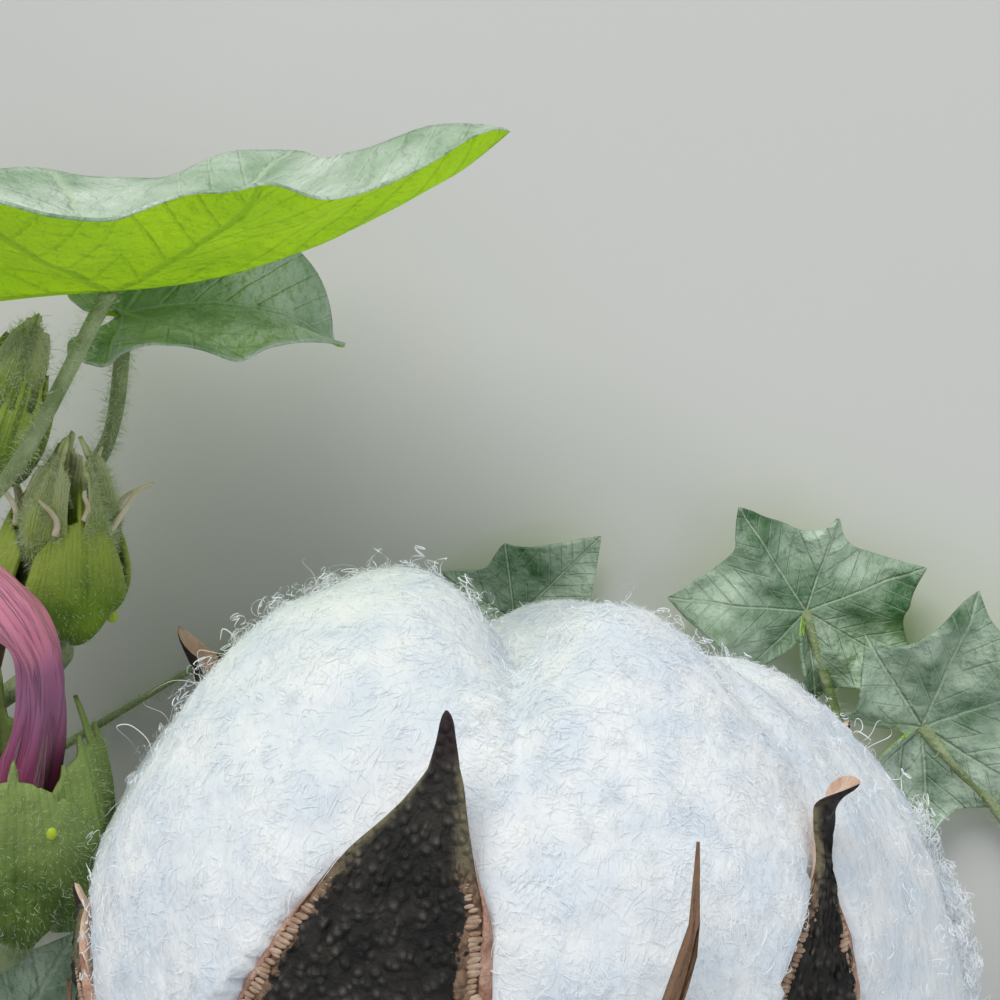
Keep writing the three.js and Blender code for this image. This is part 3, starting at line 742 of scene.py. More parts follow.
def spine_place(shape, share):
    """Place and direction on a wall's spine, whose last stretch turns outwards where it has a hook."""
    centre, rise = bezier(shape["spine"], share)
    if not shape.get("hook"):
        return centre, rise
    step = 0.01
    (start, ahead), (forward, _) = bezier(shape["spine"], np.array([HOOK_START, HOOK_START + step]))
    length = np.linalg.norm(ahead - start) / step * (1 - HOOK_START)
    outward = np.array([forward[1], -forward[0]])
    hook = math.radians(shape["hook"])
    turn = (hook * (share - HOOK_START) / (1 - HOOK_START))[..., None]
    hooked = start + length / hook * (np.sin(turn) * forward + (1 - np.cos(turn)) * outward)
    turned = np.cos(turn) * forward + np.sin(turn) * outward
    past = (share > HOOK_START)[..., None]
    return np.where(past, hooked, centre), np.where(past, turned, rise)


def wall_place(about, shape, across, share, depth):
    """A place on a thin curved wall that rises from a cup's axis: a bur valve or a bract."""
    v = share * toothed_edge(shape, across)
    centre, rise = spine_place(shape, v)
    bend = np.maximum(shape["wrap"], LEAST_BEND * centre[:, 0])
    shift = 0
    if "shift" in shape:
        bend = bend + (BEAK_BEND - bend) * smoothstep(v, BEAK_START, 0.95)
        shift = even(shape["shift"], v)
        angle = across * np.maximum(even(shape["half_widths"], v), 0.1) / bend
    else:
        angle = across * np.maximum(between(shape["half_widths"], v), 0.1) / bend
    lift = depth - bend * (1 - np.cos(angle))
    sweep = bend * np.sin(angle) + shift
    twist = math.radians(shape.get("twist", 0)) * smoothstep(v, TWIST_START, 1)
    out = lift * np.cos(twist) - sweep * np.sin(twist)
    sideways = lift * np.sin(twist) + sweep * np.cos(twist)
    azimuth = shape["azimuth"] + shape["lean"] * smoothstep(v, 0.6, 1)
    radius = centre[:, 0] + rise[:, 1] * out
    height = centre[:, 1] - rise[:, 0] * out
    return place_in(about, azimuth, radius, height, sideways)


# The stem and stalks

def bark_relief(turn, share):
    """Shallow ribs and swellings of a woody stem."""
    return (1 + 0.035 * np.sin(5 * turn + 9 * share) + 0.03 * np.sin(37 * share + 2 * turn)
            + 0.02 * np.sin(11 * turn - 60 * share))


def stalk_relief(turn, share):
    return 1 + 0.05 * np.sin(3 * turn + 4 * share) + 0.03 * np.sin(26 * share)


def make_stems():
    for node, limb in (("stem", STEM), ("boll_stalk", BOLL_STALK)):
        tube(node, limb, "bark", [node], bark_relief)
    for node, limb in (("flower_stalk", FLOWER_STALK), ("bud_lower_stalk", LOWER_BUD_STALK),
                       ("bud_upper_stalk", UPPER_BUD_STALK)):
        tube(node, limb, "green_stalk", [node], stalk_relief)


def turned_piece(node, about, profile, material):
    """A profile of radius and height, spun about a cup's axis."""
    shape = bmesh.new()
    corners = [shape.verts.new((radius, 0, height)) for radius, height in profile]
    outline = [shape.edges.new(pair) for pair in zip(corners, corners[1:])]
    bmesh.ops.spin(shape, geom=corners + outline, cent=(0, 0, 0), axis=(0, 0, 1), angle=math.tau,
                   steps=SPIN_STEPS, use_merge=True, use_duplicate=False)
    bmesh.ops.remove_doubles(shape, verts=shape.verts, dist=1e-4)
    bmesh.ops.recalc_face_normals(shape, faces=shape.faces)
    flat = places_of(shape)
    move_to(shape, place_in(about, 0, flat[:, 1], flat[:, 2], flat[:, 0]))
    bmesh.ops.recalc_face_normals(shape, faces=shape.faces)
    return finish_piece(node, shape, [material], [node])


# The open boll

def valve_relief(across, share):
    """How far a valve's outside stands out, in millimetres: warts that fade towards its edges and tip."""
    points = np.stack([across * 13, share * 75, np.zeros_like(share)], axis=1)
    rough = 0.55 * np.abs(noise(points, 1.5, 3)) + 0.3 * noise(points, 3.2, 5) + 0.18 * noise(points, 0.8, 4)
    return rough * smoothstep(1 - np.abs(across), 0.0, 0.16) * smoothstep(1 - share, 0.04, 0.2)


def make_valve(valve):
    """A valve of the bur, as a closed shell that is finer where the photograph shows it."""
    node = f"boll_valve_{valve['name']}"
    columns, rows = FINE_VALVE_GRID if valve["name"] in FINE_VALVES else PLAIN_VALVE_GRID

    def across_at(x):
        return np.where(np.abs(x) <= 0.5, 2 * x, np.sign(x) * 2 * (1 - np.abs(x)))

    def skin(x, share):
        outer = np.abs(x) <= 0.5
        across = across_at(x)
        rounded = np.sqrt(1 - np.minimum(np.abs(across), 1) ** 5)
        end = np.sqrt(np.clip((1 - share) / 0.012, 0, 1))
        half = 0.5 * VALVE_THICKNESS * (1 - 0.5 * smoothstep(share, 0.85, 0.97)) * rounded * end
        relief = np.where(outer, valve_relief(across, share), 0)
        depth = 0.5 * VALVE_THICKNESS + np.where(outer, half + relief, -half)
        return wall_place(BOLL, valve, across * (0.2 + 0.8 * end), share, depth)

    def flat_map(x, share):
        return np.stack([(across_at(x) + 1) / 2, share], axis=1)

    shape = grid_shape(columns, rows, skin, closed=True, map_rule=flat_map,
                       material_rule=lambda x: abs(x) > 0.5)
    finish_piece(node, shape, ["valve_outer", "valve_inner"], [node])
    for side, side_name in ((-1, "left"), (1, "right")):
        make_margin(valve, node, side, side_name)
        make_ridges(valve, node, side, side_name)


def make_margin(valve, node, side, side_name):
    """The valve's split seam: a rolled strip along an edge."""
    def roll(x, share):
        along = MARGIN_SPAN[0] + (MARGIN_SPAN[1] - MARGIN_SPAN[0]) * share
        turn = math.pi * x
        points = np.stack([along * 60, np.cos(turn), np.sin(turn)], axis=1)
        fade = smoothstep(along, MARGIN_SPAN[1], MARGIN_SPAN[1] - 0.1)
        size = MARGIN_WIDTH * fade * (1 + 0.3 * noise(points, 1.2, 8))
        half_width = np.maximum(even(valve["half_widths"], along), 0.1)
        across = side * (1 + (0.1 + size * np.sin(turn)) / half_width)
        depth = VALVE_THICKNESS * 0.55 + (size + 0.15) * np.cos(turn)
        return wall_place(BOLL, valve, across, along, depth)
    shape = grid_shape(*SEAM_GRID, roll, closed=True)
    finish_piece(f"{node}_margin_{side_name}", shape, ["valve_margin"], [node])


def make_ridges(valve, node, side, side_name):
    """The row of pale ridges inside a margin, one for each bundle of fibres that tore there."""
    along = np.linspace(MARGIN_SPAN[0] + 0.02, MARGIN_SPAN[1] - 0.02, RIDGE_COUNT)
    along += dice.uniform(-0.3, 0.3, RIDGE_COUNT) * (along[1] - along[0])
    half_width = even(valve["half_widths"], along)
    across = side * (1 - RIDGE_INSET / half_width * dice.uniform(0.75, 1.2, RIDGE_COUNT))
    depth = np.full(RIDGE_COUNT, VALVE_THICKNESS * 0.95)
    centres = wall_place(BOLL, valve, across, along, depth)
    beside = unit(wall_place(BOLL, valve, across + 0.01, along, depth) - centres)
    ahead = unit(wall_place(BOLL, valve, across, along + 0.002, depth) - centres)
    slant = side * dice.uniform(0.1, 0.45, RIDGE_COUNT)[:, None]
    first = unit(beside + slant * ahead)
    third = unit(np.cross(beside, ahead))
    second = np.cross(third, first)
    fade = smoothstep(along, MARGIN_SPAN[1], MARGIN_SPAN[1] - 0.06) * dice.uniform(0.8, 1.15, RIDGE_COUNT)
    sizes = fade[:, None] * np.array(RIDGE_REACH)
    ball = ball_shape(2)
    ball.verts.index_update()
    corners = places_of(ball)
    faces = np.array([[vert.index for vert in face.verts] for face in ball.faces])
    ball.free()
    axes = np.stack([first, second, third], axis=1) * sizes[:, :, None]
    points = centres[:, None] + np.einsum("ki,nij->nkj", corners, axes)
    steps = np.arange(RIDGE_COUNT)[:, None, None] * len(corners)
    array_piece(f"{node}_ridges_{side_name}", points.reshape(-1, 3), (faces[None] + steps).reshape(-1, 3),
                "ridge", [node])


def array_piece(name, corners, faces, material, nodes):
    """Many small things as one joined mesh, from their corners in millimetres."""
    mesh = bpy.data.meshes.new(name)
    mesh.vertices.add(len(corners))
    mesh.vertices.foreach_set("co", to_scene(corners).ravel())
    mesh.loops.add(faces.size)
    mesh.loops.foreach_set("vertex_index", faces.ravel())
    mesh.polygons.add(len(faces))
    mesh.polygons.foreach_set("loop_start", np.arange(0, faces.size, faces.shape[1]))
    mesh.update(calc_edges=True)
    return link_piece(name, mesh, [material], nodes)


def make_bract(name, about, bract, material, nodes, grid, ribs=0.05):
    """A toothed bract, ribbed along its teeth."""
    def outside(x, share):
        rib = ribs * np.cos(math.pi * bract["teeth"] * x) * (1 - 0.6 * share)
        ripple = 0.3 * np.sin(4 * x + 6 * share) + 0.2 * np.sin(9 * x - 3 * share)
        return wall_place(about, bract, x, share, BRACT_THICKNESS + rib + ripple)
    shape = grid_shape(*grid, outside)
    face_away(shape, away_from(about))
    piece = finish_piece(name, shape, [material], nodes)
    thicken(piece, BRACT_THICKNESS)
    return piece


def egg_distance(points, lock):
    """About how far points lie outside a lock's egg, in millimetres."""
    radial, upward, sideways = lock["reach"]
    outward = outward_of(BOLL, lock["azimuth"])
    across = np.cross(BOLL["along"], outward)
    offset = points - BOLL["foot"]
    y = (offset @ BOLL["along"] - lock["height"]) / upward
    y = np.where(y < 0, y / 1.15, y)
    pinch = 1 - np.where(y < 0, LOCK_PINCH["foot"], LOCK_PINCH["top"]) * np.minimum(y * y, 1)
    x = (offset @ across) / (sideways * pinch)
    z = (offset @ outward - lock["out"]) / (radial * pinch)
    return (np.sqrt(x * x + y * y + z * z) - 1) * radial


def lint_distance(points):
    """About how far points lie outside the whole lint, whose locks merge softly."""
    total = sum(np.exp(-egg_distance(points, lock) / LOCK_BLEND) for lock in LOCKS)
    return -LOCK_BLEND * np.log(total)


def lint_reach(ways):
    """How far the whole lint reaches from the boll's middle along each way."""
    near, far = np.zeros(len(ways)), np.full(len(ways), LINT_LIMIT)
    for _ in range(LINT_HALVINGS):
        middle = (near + far) / 2
        outside = lint_distance(BOLL["foot"] + ways * middle[:, None]) > 0
        near, far = np.where(outside, near, middle), np.where(outside, middle, far)
    return near


def puff(points):
    """The lint's lumps, hollows and creases, in millimetres."""
    offset = points - BOLL["foot"]
    height = offset @ BOLL["along"]
    swell = 0.7 * noise(points, 10, 1) + 0.35 * noise(points, 4.5, 2) + 0.2 * noise(points, 1.9, 5)
    for crease in CREASES:
        along = outward_of(BOLL, crease["azimuth"])
        beside = offset @ np.cross(BOLL["along"], along)
        near = np.exp(-(beside / crease["width"]) ** 2) * (offset @ along > 0)
        swell -= crease["depth"] * near * smoothstep(height, crease["from"], crease["full"])
    for place, width, depth in HOLLOWS:
        swell -= depth * np.exp(-np.sum((points - place) ** 2, axis=1) / width ** 2)
    return swell


def sector_depths(points, lock):
    """How deep points lie inside each of the two planes through the boll's axis that bound a lock."""
    offset = points - BOLL["foot"]
    start, end = (outward_of(BOLL, azimuth) for azimuth in lock["between"])
    ways = (np.cross(BOLL["along"], start), -np.cross(BOLL["along"], end))
    return [(way, offset @ way) for way in ways]


def fold_into_sector(points, lock):
    """Folds points that lie past a lock's seams back onto its walls."""
    for number in range(2):
        way, depth = sector_depths(points, lock)[number]
        points = points - np.outer(np.minimum(depth + SEAM_OVERLAP, 0), way)
    return points


def valve_tree():
    """A tree of the valves' inner faces, to find what lies under them."""
    corners, faces = [], []
    for valve in VALVES:
        shape = grid_shape(24, 60, lambda x, share, v=valve: wall_place(BOLL, v, x, share, np.zeros_like(x)))
        face_away(shape, away_from(BOLL))
        shape.verts.index_update()
        first = len(corners)
        corners += [vert.co.copy() for vert in shape.verts]
        faces += [[first + vert.index for vert in face.verts] for face in shape.faces]
        shape.free()
    return BVHTree.FromPolygons(corners, faces)


def nearest_valve(tree, place, reach):
    """Where a valve is nearest to a place, its way out there, and how high over and beside it that is."""
    near, normal, _, distance = tree.find_nearest(place, reach * MM)
    if near is None:
        return None
    near, normal = np.array(near), np.array(normal)
    height = (np.array(place) - near) @ normal / MM
    return near, normal, height, math.sqrt(max((distance / MM) ** 2 - height ** 2, 0))


def press_under_valves(points, tree):
    """Moves points that stand through a valve to just under it, and says which are free of valves."""
    free = np.ones(len(points), bool)
    for index, place in enumerate(to_scene(points)):
        found = nearest_valve(tree, place, 14)
        if found is None:
            continue
        near, normal, height, beside = found
        if beside < 0.25 and height > -GAP:
            points[index] = to_plant(near) - normal * GAP
            free[index] = False
    return points, free


def lint_surface(ways, lock):
    """How far a lock's lumpy surface reaches along each way, a little sunk past its seams."""
    reach = lint_reach(ways)
    points = BOLL["foot"] + ways * reach[:, None]
    past = sum(np.maximum(-depth, 0) for _, depth in sector_depths(points, lock))
    return reach + puff(points) - SEAM_SINK * smoothstep(past, 0, SEAM_OVERLAP)


def lock_node(lock):
    return f"lint_lock_{lock['name']}"


def lock_body(lock, tree):
    """One lock of lint, finer towards the front, and which of its points show."""
    shape = ball_shape(6 if lock["front"] else 5)
    outward = outward_of(BOLL, lock["azimuth"])
    ways = unit(places_of(shape) + LOCK_FOCUS * outward)
    points = BOLL["foot"] + ways * lint_surface(ways, lock)[:, None]
    offset = fold_into_sector(points, lock) - BOLL["foot"]
    ways = unit(offset)
    reach = np.minimum(np.linalg.norm(offset, axis=1), lint_surface(ways, lock))
    points = BOLL["foot"] + ways * reach[:, None]
    inside = np.all([depth > -0.1 for _, depth in sector_depths(points, lock)], axis=0)
    points, free = press_under_valves(points, tree)
    shows = inside & free & (points[:, 2] > 0.4)
    points[:, 2] = np.maximum(points[:, 2], 0.15)
    move_to(shape, points)
    bmesh.ops.recalc_face_normals(shape, faces=shape.faces)
    node = lock_node(lock)
    return finish_piece(node, shape, ["lint"], [node]), shows


def read_rows(items, name, kind=float):
    """A value of each of a mesh's items, as rows of three."""
    values = np.empty(len(items) * 3, kind)
    items.foreach_get(name, values)
    return values.reshape(-1, 3)


def roots_on(piece, shows, count):
    """Random places on what shows of a piece, spread evenly by area, and the ways out of it there."""
    mesh = piece.data
    mesh.calc_loop_triangles()
    corners = to_plant(read_rows(mesh.vertices, "co"))
    ways = read_rows(mesh.vertex_normals, "vector")
    triangles = read_rows(mesh.loop_triangles, "vertices", int)
    triangles = triangles[shows[triangles].any(axis=1)]
    a, b, c = (corners[triangles[:, i]] for i in range(3))
    area = np.linalg.norm(np.cross(b - a, c - a), axis=1)
    picked = dice.choice(len(triangles), count, p=area / area.sum())
    u, v = dice.random((2, count))
    u, v = np.where(u + v > 1, 1 - u, u), np.where(u + v > 1, 1 - v, v)
    weights = np.stack([1 - u - v, u, v], axis=1)
    chosen = triangles[picked]
    places = np.einsum("ij,ijk->ik", weights, corners[chosen])
    return places, unit(np.einsum("ij,ijk->ik", weights, ways[chosen]))


def thread_lines(roots, ways, kind, drift):
    """Curly lines of one kind of thread that leave their roots along the lint and rise over it."""
    length, lift, curl, turns, knots = (kind[name] for name in ("length", "lift", "curl", "turns", "knots"))
    count = len(roots)
    flow = np.stack([noise(roots, 7, seed) for seed in (11, 12, 13)], axis=1)
    flow += drift * dice.normal(size=(count, 3))
    forward = unit(flow - ways * np.sum(flow * ways, axis=1)[:, None])
    side = np.cross(ways, forward)
    share = np.linspace(0, 1, knots)[None, :, None]
    reach = (length * dice.uniform(0.6, 1.4, count))[:, None, None]
    rise = (lift * dice.uniform(0.3, 1.6, count))[:, None, None]
    swing = (curl * dice.uniform(0.4, 1.6, count))[:, None, None]
    phase = dice.uniform(0, math.tau, (2, count))[:, :, None, None]
    wave = (turns * dice.uniform(0.6, 1.5, count))[:, None, None] * math.tau * share
    bend = dice.normal(0, 0.35, count)[:, None, None]
    return (roots[:, None] - 0.15 * ways[:, None]
            + forward[:, None] * reach * share
            + side[:, None] * (swing * np.sin(wave + phase[0]) + bend * reach * share ** 2)
            + ways[:, None] * (rise * np.sin(math.pi * share)
                               + 0.6 * swing * (1 + np.cos(wave + phase[1])) * share)
            + forward[:, None] * 0.7 * swing * np.cos(wave + phase[0]))


def ribbon_piece(name, lines, ways, width, nodes, spread=0.7, twist=1.2, material="thread"):
    """Lines as flat fibres, each turned a little at random out of the surface that it lies on."""
    count, knots, _ = lines.shape
    forward = unit(np.gradient(lines, axis=1))
    flat = unit(np.cross(forward, ways[:, None]))
    over = np.cross(flat, forward)
    turn = (dice.normal(0, spread, count)[:, None]
            + np.linspace(0, 1, knots)[None] * dice.normal(0, twist, count)[:, None])
    side = flat * np.cos(turn)[..., None] + over * np.sin(turn)[..., None]
    half = 0.5 * width * dice.uniform(0.6, 1.4, count)[:, None, None] * np.sin(
        np.linspace(0.15, math.pi - 0.15, knots))[None, :, None] ** 0.4
    corners = np.stack([lines - side * half, lines + side * half], axis=2).reshape(-1, 3)
    corners[:, 2] = np.maximum(corners[:, 2], 0.05)
    base = np.arange(count)[:, None] * knots * 2 + np.arange(knots - 1)[None] * 2
    faces = np.stack([base, base + 1, base + 3, base + 2], axis=-1).reshape(-1, 4)
    return array_piece(name, corners, faces, material, nodes)


def clear_of_valves(lines, tree):
    """Which lines stay off the valves at their middle and their end."""
    keep = np.ones(len(lines), bool)
    for spot in (lines.shape[1] // 2, -1):
        for index, place in enumerate(to_scene(lines[:, spot])):
            found = nearest_valve(tree, place, 4) if keep[index] else None
            if found is not None:
                _, _, height, beside = found
                keep[index] = beside > 0.2 or height < 0
    return keep


# Where loose threads stand out most: a place, how wide it is and how many times denser it is
TUFTS = [((-23.5, 26, 38), 3.2, 60), ((-19, 29, 38), 3.2, 60), ((-29.5, 18, 37), 3.4, 50),
         ((-34, 13, 37), 3, 8), ((38.5, 2, 36), 3.2, 15), ((38.5, -4, 36), 3.4, 18),
         ((35, 8.5, 37), 1.1, 70), ((8, 31, 38), 4, 5), ((-6, 31, 38), 4, 4)]

# The threads that lie on the lint: their length, lift and curl, their turns and points
SURFACE_THREAD = {"length": 1.9, "lift": 0.1, "curl": 0.16, "turns": 0.7, "knots": 6}

# How far threads drift from the lint's flow
SURFACE_DRIFT = 0.6
LOOSE_DRIFT = 1.5

# Loose threads: how many, their length, lift and curl, their turns, points, width and the tufts' share
LOOSE_THREADS = [
    {"name": "fuzz", "count": 6500, "length": 0.9, "lift": 0.3, "curl": 0.2, "turns": 1.3, "knots": 9,
     "width": 0.05, "tufts": 0.02},
    {"name": "curls", "count": 2400, "length": 1.9, "lift": 1.3, "curl": 0.4, "turns": 3.2, "knots": 38,
     "width": 0.075, "tufts": 1},
    {"name": "wisps", "count": 100, "length": 4.2, "lift": 1.9, "curl": 0.35, "turns": 1.6, "knots": 30,
     "width": 0.07, "tufts": 0.6},
]

# Single fibres that loop far out, each as places along it
STRAY_POINTS = 36
STRAY_WIDTH = 0.1
STRAYS = [
    [(-28.5, 20.5, 36), (-29.2, 22.2, 36.5), (-31.5, 22.4, 37), (-33.8, 20.6, 37), (-32, 19.5, 36.6),
     (-31.3, 18, 36)],
    [(-33, 15.5, 36), (-33.5, 17.2, 36.4), (-35, 18.5, 36.8), (-36.2, 18.3, 36.8), (-35, 17, 36.4),
     (-34, 15.2, 36)],
    [(-25, 25, 38), (-25.6, 26.6, 38.4), (-26.5, 27.2, 38.4), (-26.8, 26.2, 38)],
    [(-18, 30, 38), (-18.4, 32, 38.4), (-19.4, 33.2, 38.6), (-18.8, 33.6, 38.4)],
    [(-14, 31, 38), (-12.5, 32.8, 38.4), (-10.6, 33.4, 38.6)],
    [(38, -3, 36), (40, -3.6, 36.4), (41.2, -5, 36.4), (40.4, -6.6, 36)],
]


def make_lint():
    """The locks, the fibres that lie on them and the curls that stand out of them."""
    tree = valve_tree()
    pool_roots, pool_ways = [], []
    for lock in LOCKS:
        piece, shows = lock_body(lock, tree)
        node = lock_node(lock)
        count = SURFACE_THREADS * THREAD_SHARE * (1 if lock["front"] else BACK_THREADS)
        roots, ways = roots_on(piece, shows, int(count))
        lines = thread_lines(roots, ways, SURFACE_THREAD, SURFACE_DRIFT)
        keep = clear_of_valves(lines, tree)
        ribbon_piece(f"{node}_fibres", lines[keep], ways[keep], THREAD_WIDTH, [node], 0.2, 0.25)
        roots, ways = roots_on(piece, shows, POOL_SIZE)
        pool_roots.append(roots)
        pool_ways.append(ways)
    pool_roots, pool_ways = np.concatenate(pool_roots), np.concatenate(pool_ways)
    tufts = sum(weight * np.exp(-np.sum((pool_roots - place) ** 2, axis=1) / width ** 2)
                for place, width, weight in TUFTS)
    for kind in LOOSE_THREADS:
        density = 0.15 + (1 - kind["tufts"]) + kind["tufts"] * tufts
        picked = dice.choice(len(pool_roots), int(kind["count"]), p=density / density.sum())
        roots, ways = pool_roots[picked], pool_ways[picked]
        lines = thread_lines(roots, ways, kind, LOOSE_DRIFT)
        keep = clear_of_valves(lines, tree)
        ribbon_piece(f"lint_{kind['name']}", lines[keep], ways[keep], kind["width"],
                     [lock_node(lock) for lock in LOCKS], 1.5)
    strays = np.array([between(route, np.linspace(0, 1, STRAY_POINTS)) for route in STRAYS])
    ribbon_piece("lint_strays", strays, np.tile((0.0, 0.0, 1.0), (len(STRAYS), 1)), STRAY_WIDTH,
                 ["lint_lock_left_front"], 0.2)


def make_boll():
    turned_piece("boll_receptacle", BOLL, RECEPTACLE_PROFILE, "bark")
    for valve in VALVES:
        make_valve(valve)
    make_lint()
    for bract in BOLL_BRACTS:
        node = f"boll_bract_{bract['name']}"
        make_bract(node, BOLL, bract, "dry_bract", [node], BRACT_GRIDS["boll"], BOLL_BRACT_RIBS)


# The wilted flower and the buds

def pleats(turn, share):
    """The twisted folds of a closed corolla."""
    return 1 + 0.13 * np.cos(5 * turn + 9 * share) + 0.05 * np.sin(8 * turn - 14 * share)


def joined(shapes):
    """Several shapes as one."""
    whole = bmesh.new()
    for shape in shapes:
        part = mesh_of("part", shape)
        whole.from_mesh(part)
        bpy.data.meshes.remove(part)
    return whole


def make_teeth(name, about, bracts, places, width, nodes):
    """The soft teeth along the bracts' upper edges, which curl outwards, as one piece."""
    teeth = []
    for bract, across in product(bracts, places):
        here = np.array([across])
        top = 1 - 0.5 * (1 - bract["body"])
        root = wall_place(about, {**bract, "body": top, "edge": top, "middle": top}, here, np.array([0.94]),
                          np.array([0.3]))[0]
        outward = unit(away_from(about)(root[None]))[0]
        across_way = np.cross(about["along"], outward)
        reach = TOOTH_LENGTH * width * dice.uniform(0.6, 1.3)
        bend = TOOTH_CURL * dice.uniform(0.3, 1.4)
        sway = dice.normal(0, 0.25)
        route = [root + reach * (about["along"] * (t - 0.45 * bend * t ** 3)
                                 + outward * (0.1 * t + bend * t ** 2)
                                 + across_way * (sway * t + 0.1 * math.sin(5 * t)))
                 for t in np.linspace(0, 1, 6)]
        radii = [TOOTH_RADIUS * width * (1 - t) + 0.14 for t in np.linspace(0, 1, 5)]
        teeth.append(grid_shape(*TOOTH_GRID, tube_rule(route, radii), closed=True))
    return finish_piece(name, joined(teeth), ["tooth"], nodes)


def make_hairs(name, piece, kind, nodes):
    """Fine pale hairs that stand out of a piece."""
    count, length, width = HAIRS[kind]
    shows = np.ones(len(piece.data.vertices), bool)
    roots, ways = roots_on(piece, shows, int(count * THREAD_SHARE))
    lean = 0.55 * dice.normal(size=(len(roots), 3))
    reach = (length * dice.uniform(0.5, 1.4, len(roots)))[:, None, None]
    share = np.linspace(0, 1, 4)[None, :, None]
    lines = roots[:, None] + reach * (ways[:, None] * share + lean[:, None] * share ** 2)
    ribbon_piece(name, lines, unit(lean), width, nodes, 1.5, material="hair")


def make_gland(name, about, bract, spot, nodes):
    """A small yellow-green gland on a bract's outside."""
    shape = ball_shape(3, GLAND_SIZE)
    across, share = np.array(spot)[:, None]
    centre = wall_place(about, bract, across, share, np.array([BRACT_THICKNESS]))
    move_to(shape, centre + places_of(shape) * (0.8, 1, 0.8))
    return finish_piece(name, shape, ["gland"], nodes)


def make_flower():
    tube("flower_corolla", COROLLA, "petal", ["flower_corolla"], pleats)
    turned_piece("flower_calyx", FLOWER, CALYX_PROFILE, "green_bract")
    for number, bract in enumerate(FLOWER_BRACTS, 1):
        belly, tip = bract["belly"], bract["tip"]
        shape = {**FLOWER_BRACT, "azimuth": bract["azimuth"], "body": bract["body"],
                 "spine": [[4.2, -1.4], [belly - 0.9, -2], [belly, tip[1] * 0.45], tip]}
        node = f"flower_bract_{number}"
        piece = make_bract(node, FLOWER, shape, "green_bract", [node], BRACT_GRIDS["flower"])
        make_hairs(f"{node}_hairs", piece, "flower", [node])
        if number == 1:
            make_gland("flower_gland", FLOWER, shape, FLOWER_GLAND, [node])


def make_bud(bud):
    about, spine, width = bud["about"], bud["spine"], bud["width"]
    node = f"bud_{bud['name']}"
    shape = ball_shape(4)
    x, y, z = places_of(shape).T
    move_to(shape, place_in(about, 0, width * 0.55 * z, spine[3][1] * (0.3 + 0.35 * y), width * 0.55 * x))
    finish_piece(f"{node}_core", shape, ["green_bract"], [node])
    bracts = []
    for number, azimuth in enumerate(BUD_BRACT_AZIMUTHS, 1):
        scaled = [half_width * width / 9 for half_width in BUD_BRACT["half_widths"]]
        bract = {**BUD_BRACT, "azimuth": azimuth, "spine": spine, "half_widths": scaled, "body": bud["body"]}
        bracts.append(bract)
        piece = make_bract(f"{node}_bract_{number}", about, bract, "lime_bract", [node],
                           BRACT_GRIDS["bud"])
        make_hairs(f"{node}_hairs_{number}", piece, "bud", [node])
    if bud["teeth"]:
        make_teeth(f"{node}_teeth", about, bracts, bud["teeth"], width, [node])
        make_gland(f"{node}_gland", about, bracts[0], BUD_GLAND, [node])
    for number, azimuth in enumerate(bud["inner"], 1):
        reach = 0.75 * spine[1][0]
        inner = {**BUD_BRACT, "azimuth": azimuth, "teeth": 3, "body": 0.9,
                 "half_widths": [1.5, 2.6, 2.8, 2, 0.6],
                 "spine": [[2, 5], [reach, 8], [0.8 * reach, 14], [0.12 * reach, spine[3][1] + bud["rise"]]]}
        piece = make_bract(f"{node}_inner_{number}", about, inner, "fuzzy_bract", [node],
                           BRACT_GRIDS["inner"])
        make_hairs(f"{node}_inner_hairs_{number}", piece, "inner", [node])


# The leaves

def leaf_reach(leaf, angle):
    """Half the leaf's outline, as a distance from its foot at an angle from the midrib."""
    total = np.zeros_like(angle)
    for number, reach in enumerate(leaf["lobes"]):
        away = np.hypot(angle - number * LOBE_ANGLE, leaf["round"]) - leaf["round"]
        slope = np.radians(LOBE_TIP_HALF_ANGLE + np.minimum(away, LOBE_FLANK))
        fade = np.clip(1 - (away - LOBE_FLANK) / LOBE_ANGLE, 0, 1)
        total += (reach * fade * math.sin(math.radians(LOBE_TIP_HALF_ANGLE)) / np.sin(slope)) ** 9
    return total ** (1 / 9) * (1 - 0.7 * smoothstep(angle, *LEAF_SINUS))


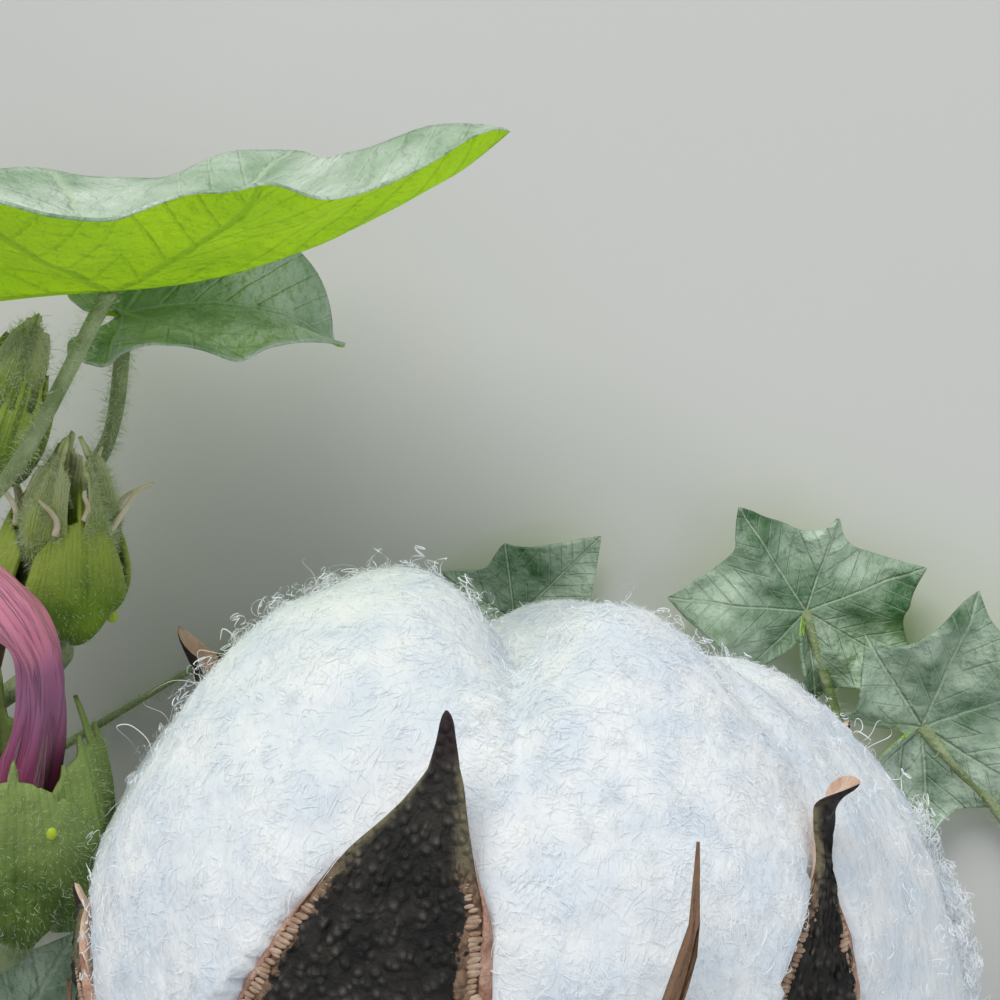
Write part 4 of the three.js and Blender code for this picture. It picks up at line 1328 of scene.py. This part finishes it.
def make_leaf(leaf):
    node = f"leaf_{leaf['name']}"
    along = unit(leaf["along"])
    side = unit(np.cross(leaf["up"], along))
    up = np.cross(along, side)
    wrinkle = leaf.get("wrinkle", 1)

    def outline_place(x, share):
        angle = 180 * x
        reach = leaf_reach(leaf, np.abs(angle)) * share
        return np.sin(np.radians(angle)) * reach, np.cos(np.radians(angle)) * reach

    def blade(x, share):
        sideways, forward = (leaf["size"] * value for value in outline_place(x, share))
        lobe = math.radians(LOBE_ANGLE)
        around = np.radians(180 * x)
        away = np.abs((around + lobe / 2) % lobe - lobe / 2)
        quilt = leaf["size"] * 0.03 * share * (1 - np.exp(-(away / 0.16) ** 2))
        points = np.stack([sideways, forward, np.full_like(share, leaf["size"])], axis=1)
        ruffle = wrinkle * leaf["size"] * (0.028 * share ** 2 * np.sin(6 * around + leaf["size"])
                                           + 0.035 * share * noise(points, leaf["size"] * 0.3, 21)
                                           + 0.016 * share * noise(points, leaf["size"] * 0.12, 22))
        rounded = np.sqrt(sideways ** 2 + 0.6) - 0.7
        fold = np.radians(leaf["fold"] + leaf.get("back_fold", 0) * smoothstep(-forward, 0, 12))
        curl = np.where(forward < 0, leaf["droop"], leaf["curl"])
        turn = curl * forward
        lift = rounded * np.sin(fold) + LEAF_THICKNESS / 2 + quilt + ruffle
        places = (np.array(leaf["foot"]) + np.outer(np.sin(turn) / curl + lift * np.sin(turn), along)
                  + np.outer((np.cos(turn) - 1) / curl + lift * np.cos(turn), up)
                  + np.outer(sideways * np.cos(fold), side))
        places[:, 2] = np.maximum(places[:, 2], LEAF_THICKNESS + 0.1)
        return places

    def flat_map(x, share):
        sideways, forward = outline_place(x, share)
        return np.stack([0.5 + 0.45 * sideways, 0.5 + 0.45 * forward], axis=1)

    shape = grid_shape(*LEAF_GRID, blade, map_rule=flat_map)
    bmesh.ops.remove_doubles(shape, verts=shape.verts, dist=1e-6)
    face_away(shape, lambda points: np.broadcast_to(up, points.shape))
    # The far side takes the underside skin, whose lime is partly painted light through the leaf
    piece = finish_piece(f"{node}_blade", shape, [leaf.get("top", "leaf_top_painted_shade"), "leaf_under_painted_glow"], [node])
    thicken(piece, LEAF_THICKNESS, inner=1)
    limb = {"route": leaf["stalk"], "radii": leaf["radii"], "grid": LEAF_STALK_GRID}
    stalk = tube(f"{node}_stalk", limb, "green_stalk", [node], stalk_relief)
    make_hairs(f"{node}_hairs", stalk, "leaf", [node])


# Floor, light and camera

def make_stage():
    shape = bmesh.new()
    bmesh.ops.create_grid(shape, x_segments=2, y_segments=2, size=FLOOR_SIZE)
    mesh = mesh_of("floor", shape)
    mesh.materials.append(plain_material("floor", FLOOR_COLOUR, 0.9))
    floor = link("floor", mesh)
    world = bpy.data.worlds.new("studio")
    world.use_nodes = True
    sky = world.node_tree.nodes["Background"]
    sky.inputs["Color"].default_value = (*SKY_COLOUR, 1)
    sky.inputs["Strength"].default_value = SKY_STRENGTH
    bpy.context.scene.world = world
    for name, values in LAMPS.items():
        add_lamp(name, *values)


def add_lamp(name, place, size, power, colour):
    """A square lamp that faces the plant."""
    data = bpy.data.lights.new(name, "AREA")
    data.size = size
    data.energy = power
    data.color = colour
    lamp = link(name, data)
    lamp.location = place
    towards_plant = bpy.context.scene.cursor.location - lamp.location
    lamp.rotation_euler = towards_plant.to_track_quat("-Z", "Y").to_euler()


def make_camera():
    data = bpy.data.cameras.new("camera")
    data.angle = 2 * math.atan(FIELD_HALF_WIDTH / FIELD_DISTANCE)
    data.clip_start = 0.01
    camera = link("camera", data)
    camera.location = to_scene(np.array(CAMERA_PLACE))
    bpy.context.scene.camera = camera
    bpy.context.scene.view_settings.view_transform = "Standard"


make_camera()
make_stage()
make_stems()
make_boll()
make_flower()
for bud in BUDS:
    make_bud(bud)
for leaf in LEAVES:
    make_leaf(leaf)
